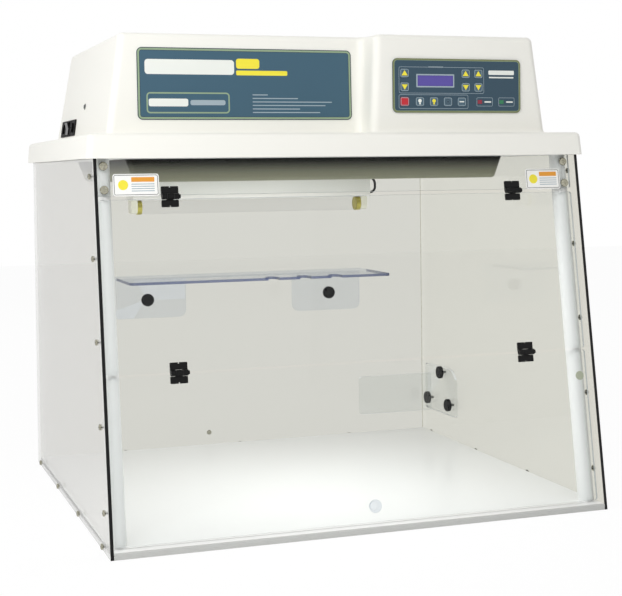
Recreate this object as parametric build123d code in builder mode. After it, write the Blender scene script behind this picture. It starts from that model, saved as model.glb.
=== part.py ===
from build123d import *
import os
from math import cos, hypot, radians, sin, tan

# PCR workstation: a clear-walled bench cabinet with a bi-fold front, a white worktop, a UV lamp
# and a moulded head that holds the blower, the filter and the controls.
# Millimetres. X runs to the right, Y to the back and Z up.
# The origin is the centre of the footprint, on the surface that the cabinet stands on.

os.makedirs("parts", exist_ok=True)

# Fits
body_gap = 0.3  # between pieces that move past each other
running_gap = 0.05  # on the radius, between a shaft and the bore that carries it
seat_gap = 0.1  # on the radius, between a screw or pin and the hole that it is fixed in

# Clear enclosure
enclosure_width = 793.0
enclosure_depth = 704.5
panel_t = 5.0
front_lean = 8.84  # degrees, the front leans back
front_recess = 16.4  # from the side panels' front edges back to the face of the doors
worktop_t = 9.0
sill_t = 4.0
ceiling_z = 562.0
ceiling_t = 4.0

# Doors and transom
door_play = 0.4  # the doors are this much thinner than the transom, so they clear the posts
door_side_gap = 1.5
door_foot_gap = 2.0
door_corner_r = 4.0
transom_drop = 55.0  # transom below the ceiling, along the slope
transom_gap = 6.0
fold_gap = 3.0
fold_z = 249.0  # height of the fold between the two doors
post_width = 25.0
post_depth = 25.0
post_round = 12.0

# Door hinges
hinge_x = 282.0
hinge_width = 26.0
leaf_length = 15.5
leaf_t = 3.0
leaf_corner_r = 1.5
pin_stand = 5.0  # pin axis in front of the doors' face
barrel_r = 4.5
barrel_width = 7.5
pin_r = 1.6
pin_head_r = 3.0
pin_head_t = 2.2
leaf_notch = 2.0

# Door knob and bumper
knob_x = 7.0
knob_z = 36.0
knob_r = 10.0
knob_neck_r = 6.5
knob_neck_h = 5.0
knob_head_h = 8.0
knob_widest_h = 3.6
knob_flare = 0.3
bumper_inset = 11.5  # from the side wall to the bumper
bumper_z = 206.0
bumper_r = 7.0
bumper_depth = 3.0

# Blank labels on the transom
label_t = 0.4
label_r = 4.0
label_z = 523.0
label_height = 33.0
left_label_inset = 60.0
left_label_width = 69.0
right_label_inset = 51.5
right_label_width = 62.0

# Pan-head screws
screw_head_r = 4.5
transom_head_r = 6.5
screw_head_h = 2.4
screw_head_round = 1.4
screw_shank_r = 2.0
screw_length = 15.0
screw_slot_w = 1.3
screw_slot_l = 5.5
screw_slot_d = 1.1
post_screw_z = 57.0
post_screw_pitch = 119.75
post_screw_count = 5
base_screw_front = 62.0
base_screw_rear = 33.5
base_screw_count = 4
transom_screw_top = 551.0
transom_screw_pitch = 35.0
rear_screw_pitch = 230.0
rear_screw_count = 3
wall_screw_x = -65.0
wall_screw_z = 32.0

# Moulded head
side_overhang = 10.0
rear_overhang = 7.5
skirt_setback = 81.0  # from the walls' front edges back to the head
head_wall = 4.0
skirt_height = 36.3
skirt_draft = 3.0
skirt_corner_r = 9.0
skirt_inner_r = 3.0
skirt_edge_r = 8.0
head_rise = 156.7  # crown above the skirt
side_ledge = 46.5
side_draft = 22.0
left_ledge = 90.0
left_draft = 5.0
right_ledge = 41.0
rear_ledge = 59.0
rear_draft = 44.0
step_reach = 279.0  # of the part that stands forward, along the crown
step_draft = 7.0
head_corner_r = 11.0
step_corner_r = 12.0
head_edge_r = 9.5
head_root_r = 6.0

# Intake on the crown of the head
intake_x = 0.0
intake_ahead = 15.0  # centre in front of the blower's axis
intake_width = 300.0
intake_depth = 180.0
grille_rim = 12.0
grille_t = 2.5
grille_wall = 2.0
grille_skirt = 16.0
grille_lip = 6.0
grille_slot_w = 6.0
grille_slot_pitch = 12.0
grille_slot_count = 12
grille_bar = 12.0
prefilter_t = 12.0

# Filter tray, filter and blower
tray_side_gap = 65.5
tray_rear_gap = 53.5
tray_depth = 442.0
tray_bottom_z = 526.0
tray_t = 1.5
tray_corner_r = 10.0
tray_slant = 16.0  # the two ends lean out by this much
tray_floor_r = 7.0
tray_rim = 10.0
vent_w = 46.0
vent_d = 48.0
vent_rib = 6.0
vent_columns = 11
vent_rows = 6
vent_margin = 14.0
vent_r = 3.0
filter_play = 1.0
filter_height = 60.0
filter_wall = 18.0
pleat_count = 25
pleat_t = 1.6
deck_t = 2.5
deck_margin = 4.0
blower_x = -60.0
blower_setback = 230.0  # axis in front of the tray's rear
blower_headroom = 23.0
blower_foot = 6.0  # scroll above the deck
blower_width = 96.0
blower_wall = 2.5
duct_depth = 60.0
inlet_r = 40.0
wheel_gap = 16.0
wheel_width = 80.0
wheel_plate = 2.0
wheel_hub_r = 12.0
wheel_ring = 9.0
blade_count = 24
blade_t = 1.2
blade_angle = 35.0
shaft_r = 4.0
shaft_in_motor = 30.0
motor_r = 34.0
motor_length = 58.0

# UV lamp
lamp_setback = 58.0  # in front of the tray's rear
lamp_x = -8.0
lamp_half = 231.0
lamp_box_width = 60.0
lamp_box_bottom = 491.0
lamp_box_t = 1.2
lamp_box_r = 5.0
holder_t = 12.0
holder_width = 27.0
holder_drop = 25.0  # lampholder below the lamp housing
lampholder_r = 9.5
tube_r = 12.75
tube_wall = 1.0
tube_z = 477.5
cap_length = 9.0
cap_r = 13.1
cap_pin_r = 1.2
cap_pin_length = 7.0
cap_pin_pitch = 12.7
lead_r = 2.3
lead_z = 498.5
lead_turn_r = 10.0
lead_out = 12.0
lead_rise = 5.0
lead_hook_r = 15.0
lead_hook_turn = 62.0  # degrees
ballast_side_gap = 7.5
ballast_width = 40.0
ballast_length = 170.0
ballast_height = 24.0
ballast_r = 3.0

# Nameplate and control panel
plate_side_gap = 26.5  # from the left end of the crown
plate_step_gap = 14.5  # from the foot of the step
plate_rise = 78.7
plate_height = 111.0
plate_t = 1.0
plate_r = 8.0
panel_inset = 138.0  # from the right end of the crown to the panel's centre
panel_rise = 75.7
overlay_width = 225.0
overlay_height = 86.0
overlay_t = 2.2
overlay_r = 8.0
key_w = 14.9
key_h = 13.9
key_r = 3.0
key_proud = 0.3
key_float = 0.95
key_travel = 0.6
key_stem_r = 2.0
key_edge_r = 0.4
upper_row = 19.6
lower_row = -2.2
function_row = -25.4
left_arrow_x = -92.3
middle_arrow_x = 14.3
right_arrow_x = 36.9
function_key_x = -66.2
function_pitch = 24.45
display_x = -39.0
display_y = 7.8
display_w = 66.0
display_h = 21.0
display_body_margin = 5.0
display_body_t = 6.0
display_proud = 1.2
led_y = -25.5
red_led_x = 39.3
green_led_x = 78.0
led_w = 8.0
led_h = 6.4
board_w = 214.0
board_h = 78.0
board_t = 1.6
switch_w = 6.0
switch_h = 3.4
boss_r = 3.5
boss_x = 102.0
boss_y = 34.5
board_r = 2.0

# Mains entry on the left of the head
entry_rise = 21.7
entry_plate_t = 2.0
entry_plate_r = 2.5
inlet_setback = 77.0  # in front of the housing's rear
inlet_plate_w = 50.0
entry_plate_h = 28.0
inlet_body_w = 30.0
inlet_body_h = 22.0
inlet_depth = 18.0
socket_w = 24.2
socket_h = 16.8
socket_depth = 15.0
socket_cut = 5.0
blade_w = 2.0
blade_h = 4.0
blade_l = 13.0
blade_spread = 7.0
switch_step = 50.0
switch_plate_w = 44.0
switch_body_w = 30.0
switch_body_h = 25.0
switch_depth = 15.0
rocker_w = 24.0
rocker_half = 10.4
rocker_well_half = 11.5
rocker_root_r = 4.5
rocker_proud = 2.4
rocker_tilt = 10.0  # degrees either side of level
rocker_pin_r = 1.2
rocker_pin_l = 1.6
fuse_step = 45.0
fuse_plate_w = 40.0
fuse_cap_r = 8.5
fuse_cap_h = 3.5
fuse_body_r = 8.0
fuse_depth = 30.0
fuse_slot = 1.6

# Shelf on the back wall and holder on the right wall
shelf_z = 344.0
shelf_half = 252.0
shelf_depth = 171.0
shelf_t = 5.0
shelf_bend_r = 8.0
shelf_corner_r = 10.0
tab_bottom_z = 262.0
tab_inner_x = 109.0
tab_corner_r = 14.0
shelf_knob_x = 185.0
shelf_knob_z = 297.0
notch_w = 22.0
notch_depth = 30.0
notch_x = 18.0
notch_pitch = 62.0
notch_count = 3
holder_rear_gap = 25.5
holder_depth = 140.0
holder_plate_setback = 34.0
holder_plate_t = 5.0
holder_reach = 162.5
holder_bottom_z = 56.0
holder_flange_top = 147.0
holder_plate_top = 131.0
holder_corner_r = 30.0
holder_small_r = 6.0
holder_knob_places = ((76.0, 137.0), (112.0, 77.0), (16.0, 78.0))  # from its rear, and height
thumb_r = 12.0
thumb_h = 7.0
thumb_edge_r = 2.0
thumb_shank_r = 2.5
thumb_end_gap = 0.5

# Places worked out from the sizes above
lean = radians(front_lean)
front_y = -(enclosure_depth + rear_overhang) / 2
rear_y = front_y + enclosure_depth
side_face_x = enclosure_width / 2
inner_half = side_face_x - panel_t
back_face_y = rear_y - panel_t
door_foot_y = front_y + front_recess
door_t = panel_t - door_play
front_face = Plane(
    origin=(0, door_foot_y, 0), x_dir=(1, 0, 0), z_dir=(0, -cos(lean), sin(lean))
)


def slope_v(z, w):
    """Distance up the front slope of the point that is w in front of it at height z."""
    return (z - w * sin(lean)) / cos(lean)


def front_point(v, w):
    """Y and Z of the point that is v up the front slope and w in front of it."""
    y = door_foot_y + v * sin(lean) - w * cos(lean)
    return y, v * cos(lean) + w * sin(lean)


skirt_bottom = ceiling_z
skirt_top = skirt_bottom + skirt_height
head_height = skirt_top + head_rise
head_width = enclosure_width + 2 * side_overhang
head_foot_half = head_width / 2 - side_ledge
head_crown_half = head_foot_half - side_draft
step_crown_x = head_crown_half - step_reach
step_foot_x = step_crown_x - step_draft
front_skirt_y = front_y + skirt_setback
skirt_rear_y = rear_y + rear_overhang
left_foot_y = front_skirt_y + left_ledge
left_crown_y = left_foot_y + left_draft
right_foot_y = front_skirt_y + right_ledge
rear_foot_y = skirt_rear_y - rear_ledge
rear_crown_y = rear_foot_y - rear_draft
panel_top = skirt_top - head_wall
ceiling_top = ceiling_z + ceiling_t
ceiling_front_y = front_point(slope_v(ceiling_top, -panel_t), -panel_t)[0]
transom_foot_v = slope_v(ceiling_z, 0) - transom_drop
transom_top_v = slope_v(panel_top, 0)
top_pin_v = transom_foot_v - transom_gap / 2
fold_pin_v = slope_v(fold_z, 0)
upper_door_top_v = transom_foot_v - transom_gap
upper_door_foot_v = fold_pin_v + fold_gap / 2
lower_door_top_v = fold_pin_v - fold_gap / 2
lower_door_foot_v = slope_v(worktop_t + door_foot_gap, -door_t)
door_half = inner_half - door_side_gap
post_x = inner_half - post_width / 2
post_centre_w = -(panel_t + post_depth / 2)
screw_hole_r = screw_shank_r + seat_gap
thumb_hole_r = thumb_shank_r + seat_gap
bumper_x = inner_half - bumper_inset
tray_half = inner_half - tray_side_gap
tray_floor_half = tray_half - tray_slant
tray_rear_y = back_face_y - tray_rear_gap
tray_front_y = tray_rear_y - tray_depth
lamp_y = tray_rear_y - lamp_setback
lamp_left_x = lamp_x - lamp_half
lamp_right_x = lamp_x + lamp_half
blower_y = tray_rear_y - blower_setback
intake_y = blower_y - intake_ahead
ballast_x = inner_half - ballast_side_gap - ballast_width / 2
ballast_y = blower_y
plate_left_x = -head_crown_half + plate_side_gap
plate_right_x = step_foot_x - plate_step_gap
plate_width = plate_right_x - plate_left_x
plate_x = (plate_left_x + plate_right_x) / 2
plate_z = skirt_top + plate_rise
panel_x = head_crown_half - panel_inset
panel_z = skirt_top + panel_rise
entry_z = skirt_top + entry_rise
inlet_y = rear_foot_y - inlet_setback
switch_y = inlet_y - switch_step
fuse_y = switch_y - fuse_step
holder_rear_y = back_face_y - holder_rear_gap
holder_front_y = holder_rear_y - holder_depth
holder_plate_y = holder_rear_y - holder_plate_setback
holder_inner_x = inner_half - holder_reach
holder_knobs = [(holder_rear_y - setback, z) for setback, z in holder_knob_places]
hinge_xs = (-hinge_x, hinge_x)


def hole_circles(radius, places):
    """Circles of one radius at a list of places, in the sketch that is open."""
    with Locations(*places):
        Circle(radius)


# Screw places: up the posts and along the worktop on each side, across the back, and in the transom
post_screws = [
    (front_point(slope_v(z, post_centre_w), post_centre_w)[0], z)
    for z in [post_screw_z + i * post_screw_pitch for i in range(post_screw_count)]
]
base_screw_span = enclosure_depth - base_screw_front - base_screw_rear
base_screw_pitch = base_screw_span / (base_screw_count - 1)
base_screws = [
    (front_y + base_screw_front + i * base_screw_pitch, worktop_t / 2)
    for i in range(base_screw_count)
]
rear_screws = [
    ((i - (rear_screw_count - 1) / 2) * rear_screw_pitch, worktop_t / 2)
    for i in range(rear_screw_count)
]
transom_screws = [
    (side * post_x, slope_v(transom_screw_top - i * transom_screw_pitch, 0))
    for side in (-1, 1)
    for i in range(2)
]
shelf_knobs = [(-shelf_knob_x, shelf_knob_z), (shelf_knob_x, shelf_knob_z)]

# Worktop and its front edge
with BuildPart() as base_panel:
    with BuildSketch() as worktop_outline:
        with Locations((0, (front_y + sill_t + back_face_y) / 2)):
            Rectangle(2 * inner_half, back_face_y - front_y - sill_t)
    extrude(amount=worktop_t)
    with BuildSketch(Plane.YZ.offset(-inner_half)) as left_edge_holes:
        hole_circles(screw_hole_r, base_screws)
    extrude(amount=screw_length - panel_t, mode=Mode.SUBTRACT)
    with BuildSketch(Plane.YZ.offset(inner_half)) as right_edge_holes:
        hole_circles(screw_hole_r, base_screws)
    extrude(amount=-(screw_length - panel_t), mode=Mode.SUBTRACT)
    with BuildSketch(Plane.XZ.offset(-back_face_y)) as rear_edge_holes:
        hole_circles(screw_hole_r, rear_screws)
    extrude(amount=screw_length - panel_t, mode=Mode.SUBTRACT)
base_panel.part.label = "base_panel"
export_step(base_panel.part, "parts/base_panel.step")

with BuildPart() as front_sill:
    with BuildSketch() as sill_outline:
        with Locations((0, front_y + sill_t / 2)):
            Rectangle(2 * inner_half, sill_t)
    extrude(amount=worktop_t)
    fillet(front_sill.edges().filter_by(Axis.X).group_by(Axis.Y)[0].group_by(Axis.Z)[-1], sill_t / 2)
front_sill.part.label = "front_sill"
export_step(front_sill.part, "parts/front_sill.step")


def side_panel(inner_x, away, knob_places):
    """Side wall from inner_x outwards, with a sloped front edge and its screw holes."""
    front_top_y = front_y + panel_top * tan(lean)
    with BuildPart() as wall:
        with BuildSketch(Plane.YZ.offset(inner_x)) as outline:
            with BuildLine() as edge:
                Polyline(
                    (front_y, 0), (rear_y, 0), (rear_y, panel_top), (front_top_y, panel_top),
                    close=True,
                )
            make_face()
            with Locations(*post_screws, *base_screws):
                Circle(screw_hole_r, mode=Mode.SUBTRACT)
            if knob_places:
                with Locations(*knob_places):
                    Circle(thumb_hole_r, mode=Mode.SUBTRACT)
        extrude(amount=away * panel_t)
    return wall.part


left_side_panel = side_panel(-inner_half, -1, ())
left_side_panel.label = "left_side_panel"
export_step(left_side_panel, "parts/left_side_panel.step")

right_side_panel = side_panel(inner_half, 1, holder_knobs)
right_side_panel.label = "right_side_panel"
export_step(right_side_panel, "parts/right_side_panel.step")

with BuildPart() as back_panel:
    with BuildSketch(Plane.XZ.offset(-back_face_y)) as back_outline:
        with Locations((0, panel_top / 2)):
            Rectangle(2 * inner_half, panel_top)
        with Locations(*rear_screws, (wall_screw_x, wall_screw_z)):
            Circle(screw_hole_r, mode=Mode.SUBTRACT)
        with Locations(*shelf_knobs):
            Circle(thumb_hole_r, mode=Mode.SUBTRACT)
    extrude(amount=-panel_t)
back_panel.part.label = "back_panel"
export_step(back_panel.part, "parts/back_panel.step")

# Front posts: round bars that lean with the doors, cut level on the worktop and under the ceiling
post_section = Plane(
    origin=front_face.from_local_coords(Vector(0, ceiling_z / 2, post_centre_w)),
    x_dir=front_face.x_dir,
    z_dir=front_face.y_dir,
)
with BuildPart() as front_posts:
    with BuildSketch(post_section) as post_outlines:
        with Locations((-post_x, 0), (post_x, 0)):
            RectangleRounded(post_width, post_depth, post_round)
    extrude(amount=ceiling_z, both=True)
    split(bisect_by=Plane.XY.offset(worktop_t), keep=Keep.TOP)
    split(bisect_by=Plane.XY.offset(ceiling_z), keep=Keep.BOTTOM)
    for side in (-1, 1):
        with BuildSketch(Plane.YZ.offset(side * inner_half)) as post_side_holes:
            hole_circles(screw_hole_r, post_screws)
        extrude(amount=-side * (screw_length - panel_t), mode=Mode.SUBTRACT)
    with BuildSketch(front_face.offset(-panel_t)) as post_front_holes:
        hole_circles(screw_hole_r, transom_screws)
    extrude(amount=-(screw_length - panel_t), mode=Mode.SUBTRACT)
    with BuildSketch(front_face.offset(-panel_t)) as bumper_seat:
        with Locations((bumper_x, slope_v(bumper_z, -panel_t))):
            Circle(bumper_r + seat_gap)
    extrude(amount=-bumper_depth, mode=Mode.SUBTRACT)
front_posts.part.label = "front_posts"
export_step(front_posts.part, "parts/front_posts.step")

with BuildPart() as door_bumper:
    with BuildSketch(front_face.offset(-panel_t - bumper_depth)) as bumper_disc:
        with Locations((bumper_x, slope_v(bumper_z, -panel_t))):
            Circle(bumper_r)
    extrude(amount=bumper_depth)
door_bumper.part.label = "door_bumper"
export_step(door_bumper.part, "parts/door_bumper.step")


def front_sheet(foot_v, top_v, thickness, hole_places):
    """A clear sheet in the front slope, from foot_v to top_v, with its face on the slope."""
    with BuildPart() as sheet:
        with BuildSketch(front_face) as outline:
            with Locations((0, (foot_v + top_v) / 2)):
                RectangleRounded(2 * door_half, top_v - foot_v, door_corner_r)
            if hole_places:
                with Locations(*hole_places):
                    Circle(screw_hole_r, mode=Mode.SUBTRACT)
        extrude(amount=-thickness)
    return sheet.part


transom_panel = front_sheet(transom_foot_v, transom_top_v, panel_t, transom_screws)
transom_panel.label = "transom_panel"
export_step(transom_panel, "parts/transom_panel.step")

upper_door = front_sheet(upper_door_foot_v, upper_door_top_v, door_t, ())
upper_door.label = "upper_door"
export_step(upper_door, "parts/upper_door.step")

lower_door = front_sheet(lower_door_foot_v, lower_door_top_v, door_t, ())
lower_door.label = "lower_door"
export_step(lower_door, "parts/lower_door.step")


def hinge_section(axis_v, x):
    """Plane across a hinge pin at x: its X runs up the slope and its Y out of the door."""
    y, z = front_point(axis_v, pin_stand)
    return Plane(origin=(x, y, z), x_dir=(0, sin(lean), cos(lean)), z_dir=(1, 0, 0))


def hinge_leaves(axis_v, side, barrels, bore_r):
    """Leaves on both hinge lines: side is 1 above the pin and -1 below it.

    barrels lists the start and length of each barrel along the pin, from the hinge's middle."""
    leaf_root = barrel_r + body_gap
    plate_length = leaf_length - leaf_root
    with BuildPart() as leaves:
        with BuildSketch(front_face) as plates:
            with Locations(*[(x, axis_v + side * (leaf_root + plate_length / 2)) for x in hinge_xs]):
                RectangleRounded(hinge_width, plate_length, leaf_corner_r)
            with Locations(*[(x, axis_v + side * leaf_length) for x in hinge_xs]):
                Rectangle(leaf_notch, 2 * leaf_notch, mode=Mode.SUBTRACT)
        extrude(amount=leaf_t)
        for x in hinge_xs:
            for start, length in barrels:
                with BuildSketch(hinge_section(axis_v, x + start)) as barrel:
                    with Locations((side * (leaf_root + leaf_corner_r) / 2, leaf_t / 2 - pin_stand)):
                        Rectangle(leaf_root + leaf_corner_r, leaf_t)
                    Circle(barrel_r)
                    Circle(bore_r, mode=Mode.SUBTRACT)
                extrude(amount=length)
    return leaves.part


outer_barrels = (
    (-hinge_width / 2, barrel_width),
    (hinge_width / 2 - barrel_width, barrel_width),
)
centre_barrel = (
    (-hinge_width / 2 + barrel_width + body_gap, hinge_width - 2 * (barrel_width + body_gap)),
)


def hinge_pins(axis_v):
    """Pins through both hinges of one line, with a head at their right ends."""
    with BuildPart() as pins:
        for x in hinge_xs:
            with BuildSketch(hinge_section(axis_v, x - hinge_width / 2)) as shank:
                Circle(pin_r)
            extrude(amount=hinge_width)
            with BuildSketch(hinge_section(axis_v, x + hinge_width / 2)) as head:
                Circle(pin_head_r)
            extrude(amount=pin_head_t)
    return pins.part


fixed_bore = pin_r + seat_gap / 2
turning_bore = pin_r + running_gap

top_hinge_plates = hinge_leaves(top_pin_v, 1, outer_barrels, fixed_bore)
top_hinge_plates.label = "top_hinge_plates"
export_step(top_hinge_plates, "parts/top_hinge_plates.step")

top_hinge_pins = hinge_pins(top_pin_v)
top_hinge_pins.label = "top_hinge_pins"
export_step(top_hinge_pins, "parts/top_hinge_pins.step")

upper_top_leaves = hinge_leaves(top_pin_v, -1, centre_barrel, turning_bore)
upper_top_leaves.label = "upper_top_leaves"
export_step(upper_top_leaves, "parts/upper_top_leaves.step")

upper_middle_leaves = hinge_leaves(fold_pin_v, 1, outer_barrels, fixed_bore)
upper_middle_leaves.label = "upper_middle_leaves"
export_step(upper_middle_leaves, "parts/upper_middle_leaves.step")

middle_hinge_pins = hinge_pins(fold_pin_v)
middle_hinge_pins.label = "middle_hinge_pins"
export_step(middle_hinge_pins, "parts/middle_hinge_pins.step")

lower_middle_leaves = hinge_leaves(fold_pin_v, -1, centre_barrel, turning_bore)
lower_middle_leaves.label = "lower_middle_leaves"
export_step(lower_middle_leaves, "parts/lower_middle_leaves.step")

# Door knob: a clear turned knob on the lower door's face
knob_y, knob_foot_z = front_point(slope_v(knob_z, 0), 0)
knob_section = Plane(
    origin=(knob_x, knob_y, knob_foot_z), x_dir=(1, 0, 0), z_dir=(0, -sin(lean), -cos(lean))
)
with BuildPart() as door_knob:
    with BuildSketch(knob_section) as knob_profile:
        with BuildLine() as knob_edge:
            knob_top = knob_neck_h + knob_head_h
            neck = Polyline((0, 0), (knob_neck_r, 0), (knob_neck_r, knob_neck_h))
            crown = Spline(
                neck @ 1,
                (knob_r, knob_neck_h + knob_widest_h),
                (0, knob_top),
                tangents=[(1, knob_flare), (-1, 0)],
            )
            Line(crown @ 1, (0, 0))
        make_face()
    revolve(axis=Axis(knob_section.origin, knob_section.y_dir))
door_knob.part.label = "door_knob"
export_step(door_knob.part, "parts/door_knob.step")

# Blank labels on the transom
with BuildPart() as transom_labels:
    with BuildSketch(front_face) as label_outlines:
        with Locations((left_label_inset - inner_half, slope_v(label_z, 0))):
            RectangleRounded(left_label_width, label_height, label_r)
        with Locations((inner_half - right_label_inset, slope_v(label_z, 0))):
            RectangleRounded(right_label_width, label_height, label_r)
    extrude(amount=label_t)
transom_labels.part.label = "transom_labels"
export_step(transom_labels.part, "parts/transom_labels.step")


def pan_screws(seat, places, length, head_r):
    """Cross-recessed pan-head screws with their heads on the plane seat."""
    with BuildPart() as screws:
        with BuildSketch(seat) as shanks:
            hole_circles(screw_shank_r, places)
        extrude(amount=-length)
        with BuildSketch(seat) as heads:
            hole_circles(head_r, places)
        extrude(amount=screw_head_h)
        outward = Axis(seat.origin, seat.z_dir)
        fillet(screws.edges().group_by(outward)[-1], screw_head_round)
        with BuildSketch(seat.offset(screw_head_h)) as recess:
            with Locations(*places):
                Rectangle(screw_slot_l, screw_slot_w)
                Rectangle(screw_slot_w, screw_slot_l)
        extrude(amount=-screw_slot_d, mode=Mode.SUBTRACT)
    return screws.part


right_seat = Plane(origin=(side_face_x, 0, 0), x_dir=(0, 1, 0), z_dir=(1, 0, 0))
left_seat = Plane(origin=(-side_face_x, 0, 0), x_dir=(0, -1, 0), z_dir=(-1, 0, 0))
rear_seat = Plane(origin=(0, rear_y, 0), x_dir=(-1, 0, 0), z_dir=(0, 1, 0))
wall_seat = Plane(origin=(0, back_face_y, 0), x_dir=(1, 0, 0), z_dir=(0, -1, 0))
side_screws = post_screws + base_screws
with BuildPart() as panel_screws:
    grip = screw_length - body_gap
    add(pan_screws(right_seat, side_screws, grip, screw_head_r))
    add(pan_screws(left_seat, [(-y, z) for y, z in side_screws], grip, screw_head_r))
    add(pan_screws(rear_seat, [(-x, z) for x, z in rear_screws], grip, screw_head_r))
    add(pan_screws(front_face, transom_screws, grip, transom_head_r))
    add(pan_screws(wall_seat, [(wall_screw_x, wall_screw_z)], panel_t, screw_head_r))
panel_screws.part.label = "panel_screws"
export_step(panel_screws.part, "parts/panel_screws.step")

# Shelf: one clear sheet bent down at the back into two tabs, with notches for pipettes
shelf_front_y = back_face_y - shelf_depth
with BuildPart() as shelf:
    with BuildSketch(Plane.YZ) as shelf_section:
        with BuildLine() as shelf_bend:
            FilletPolyline(
                (shelf_front_y, shelf_z), (back_face_y, shelf_z), (back_face_y, tab_bottom_z),
                radius=shelf_bend_r,
            )
            FilletPolyline(
                (shelf_front_y, shelf_z - shelf_t),
                (back_face_y - shelf_t, shelf_z - shelf_t),
                (back_face_y - shelf_t, tab_bottom_z),
                radius=shelf_bend_r - shelf_t,
            )
            Line((shelf_front_y, shelf_z), (shelf_front_y, shelf_z - shelf_t))
            Line((back_face_y, tab_bottom_z), (back_face_y - shelf_t, tab_bottom_z))
        make_face()
    extrude(amount=shelf_half, both=True)
    with BuildSketch(Plane.XZ.offset(-back_face_y)) as tab_gap:
        with Locations((0, tab_bottom_z - tab_corner_r)):
            gap_height = shelf_z - shelf_bend_r - tab_bottom_z + tab_corner_r
            Rectangle(2 * tab_inner_x, gap_height, align=(Align.CENTER, Align.MIN))
    extrude(amount=shelf_bend_r, mode=Mode.SUBTRACT)
    tab_corners = shelf.edges().filter_by(Axis.Y).group_by(Axis.Z)[0]
    fillet(tab_corners, tab_corner_r)
    front_corners = shelf.edges().filter_by(Axis.Z).group_by(Axis.Y)[0]
    fillet(front_corners, shelf_corner_r)
    with BuildSketch(Plane.XY.offset(shelf_z)) as notches:
        with Locations(*[(notch_x + i * notch_pitch, shelf_front_y) for i in range(notch_count)]):
            SlotOverall(2 * notch_depth, notch_w, rotation=90)
    extrude(amount=-shelf_t, mode=Mode.SUBTRACT)
    with BuildSketch(Plane.XZ.offset(-back_face_y)) as knob_holes:
        hole_circles(thumb_hole_r, shelf_knobs)
    extrude(amount=shelf_t, mode=Mode.SUBTRACT)
shelf.part.label = "shelf"
export_step(shelf.part, "parts/shelf.step")

# Holder: a flange on the right wall and a clear plate that stands out square from it
flange_x = inner_half - holder_plate_t
with BuildPart() as side_holder:
    with BuildSketch(Plane.YZ.offset(flange_x)) as flange_outline:
        with BuildLine() as flange_edge:
            FilletPolyline(
                (holder_front_y, holder_bottom_z),
                (holder_rear_y, holder_bottom_z),
                (holder_rear_y, holder_flange_top),
                (holder_front_y, holder_flange_top),
                radius=[holder_small_r, holder_small_r, holder_small_r, holder_corner_r],
                close=True,
            )
        make_face()
        with Locations(*holder_knobs):
            Circle(thumb_hole_r, mode=Mode.SUBTRACT)
    extrude(amount=holder_plate_t)
    with BuildSketch(Plane.XZ.offset(-holder_plate_y)) as plate_outline:
        with BuildLine() as plate_edge:
            FilletPolyline(
                (flange_x, holder_bottom_z),
                (holder_inner_x, holder_bottom_z),
                (holder_inner_x, holder_plate_top),
                (flange_x, holder_plate_top),
                radius=holder_small_r,
            )
            Line((flange_x, holder_plate_top), (flange_x, holder_bottom_z))
        make_face()
    extrude(amount=-holder_plate_t)
side_holder.part.label = "side_holder"
export_step(side_holder.part, "parts/side_holder.step")


def thumb_screws_on(seat, places, grip):
    """Black thumb screws with their heads on the plane seat and shanks of length grip."""
    with BuildPart() as screws:
        with BuildSketch(seat) as shanks:
            hole_circles(thumb_shank_r, places)
        extrude(amount=-grip)
        with BuildSketch(seat) as heads:
            hole_circles(thumb_r, places)
        extrude(amount=thumb_h)
        outward = Axis(seat.origin, seat.z_dir)
        fillet(screws.edges().group_by(outward)[-1], thumb_edge_r)
    return screws.part


shelf_seat = Plane(origin=(0, back_face_y - shelf_t, 0), x_dir=(1, 0, 0), z_dir=(0, -1, 0))
holder_seat = Plane(origin=(flange_x, 0, 0), x_dir=(0, -1, 0), z_dir=(-1, 0, 0))
with BuildPart() as thumb_screws:
    add(thumb_screws_on(shelf_seat, shelf_knobs, shelf_t + panel_t - thumb_end_gap))
    holder_grip = holder_plate_t + panel_t - thumb_end_gap
    add(thumb_screws_on(holder_seat, [(-y, z) for y, z in holder_knobs], holder_grip))
thumb_screws.part.label = "thumb_screws"
export_step(thumb_screws.part, "parts/thumb_screws.step")

# Ceiling plate, with an opening for the filter tray
tray_mid_y = (tray_front_y + tray_rear_y) / 2
with BuildPart() as ceiling_plate:
    with BuildSketch(Plane.XY.offset(ceiling_z)) as ceiling_outline:
        with Locations((0, (ceiling_front_y + back_face_y) / 2)):
            Rectangle(2 * inner_half, back_face_y - ceiling_front_y)
        with Locations((0, tray_mid_y)):
            RectangleRounded(
                2 * (tray_half + body_gap),
                tray_depth + 2 * body_gap,
                tray_corner_r + body_gap,
                mode=Mode.SUBTRACT,
            )
    extrude(amount=ceiling_t)
ceiling_plate.part.label = "ceiling_plate"
export_step(ceiling_plate.part, "parts/ceiling_plate.step")

# Filter tray: a dark tray that hangs through the ceiling by its rim, with vents in its floor
vents_front_y = tray_front_y + tray_t + vent_margin
vents_mid_y = vents_front_y + (vent_rows * (vent_d + vent_rib) - vent_rib) / 2


def tray_form(inset):
    """Round-cornered box of the tray, or with an inset the hollow inside it."""
    with BuildPart() as form:
        with BuildSketch(Plane.XY.offset(tray_bottom_z + inset)) as floor_outline:
            with Locations((0, tray_mid_y)):
                RectangleRounded(
                    2 * (tray_floor_half - inset), tray_depth - 2 * inset, tray_corner_r - inset
                )
        with BuildSketch(Plane.XY.offset(ceiling_top + tray_t)) as top_outline:
            with Locations((0, tray_mid_y)):
                RectangleRounded(
                    2 * (tray_half - inset), tray_depth - 2 * inset, tray_corner_r - inset
                )
        loft()
        fillet(form.edges().group_by(Axis.Z)[0], tray_floor_r - inset)
    return form.part


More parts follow.
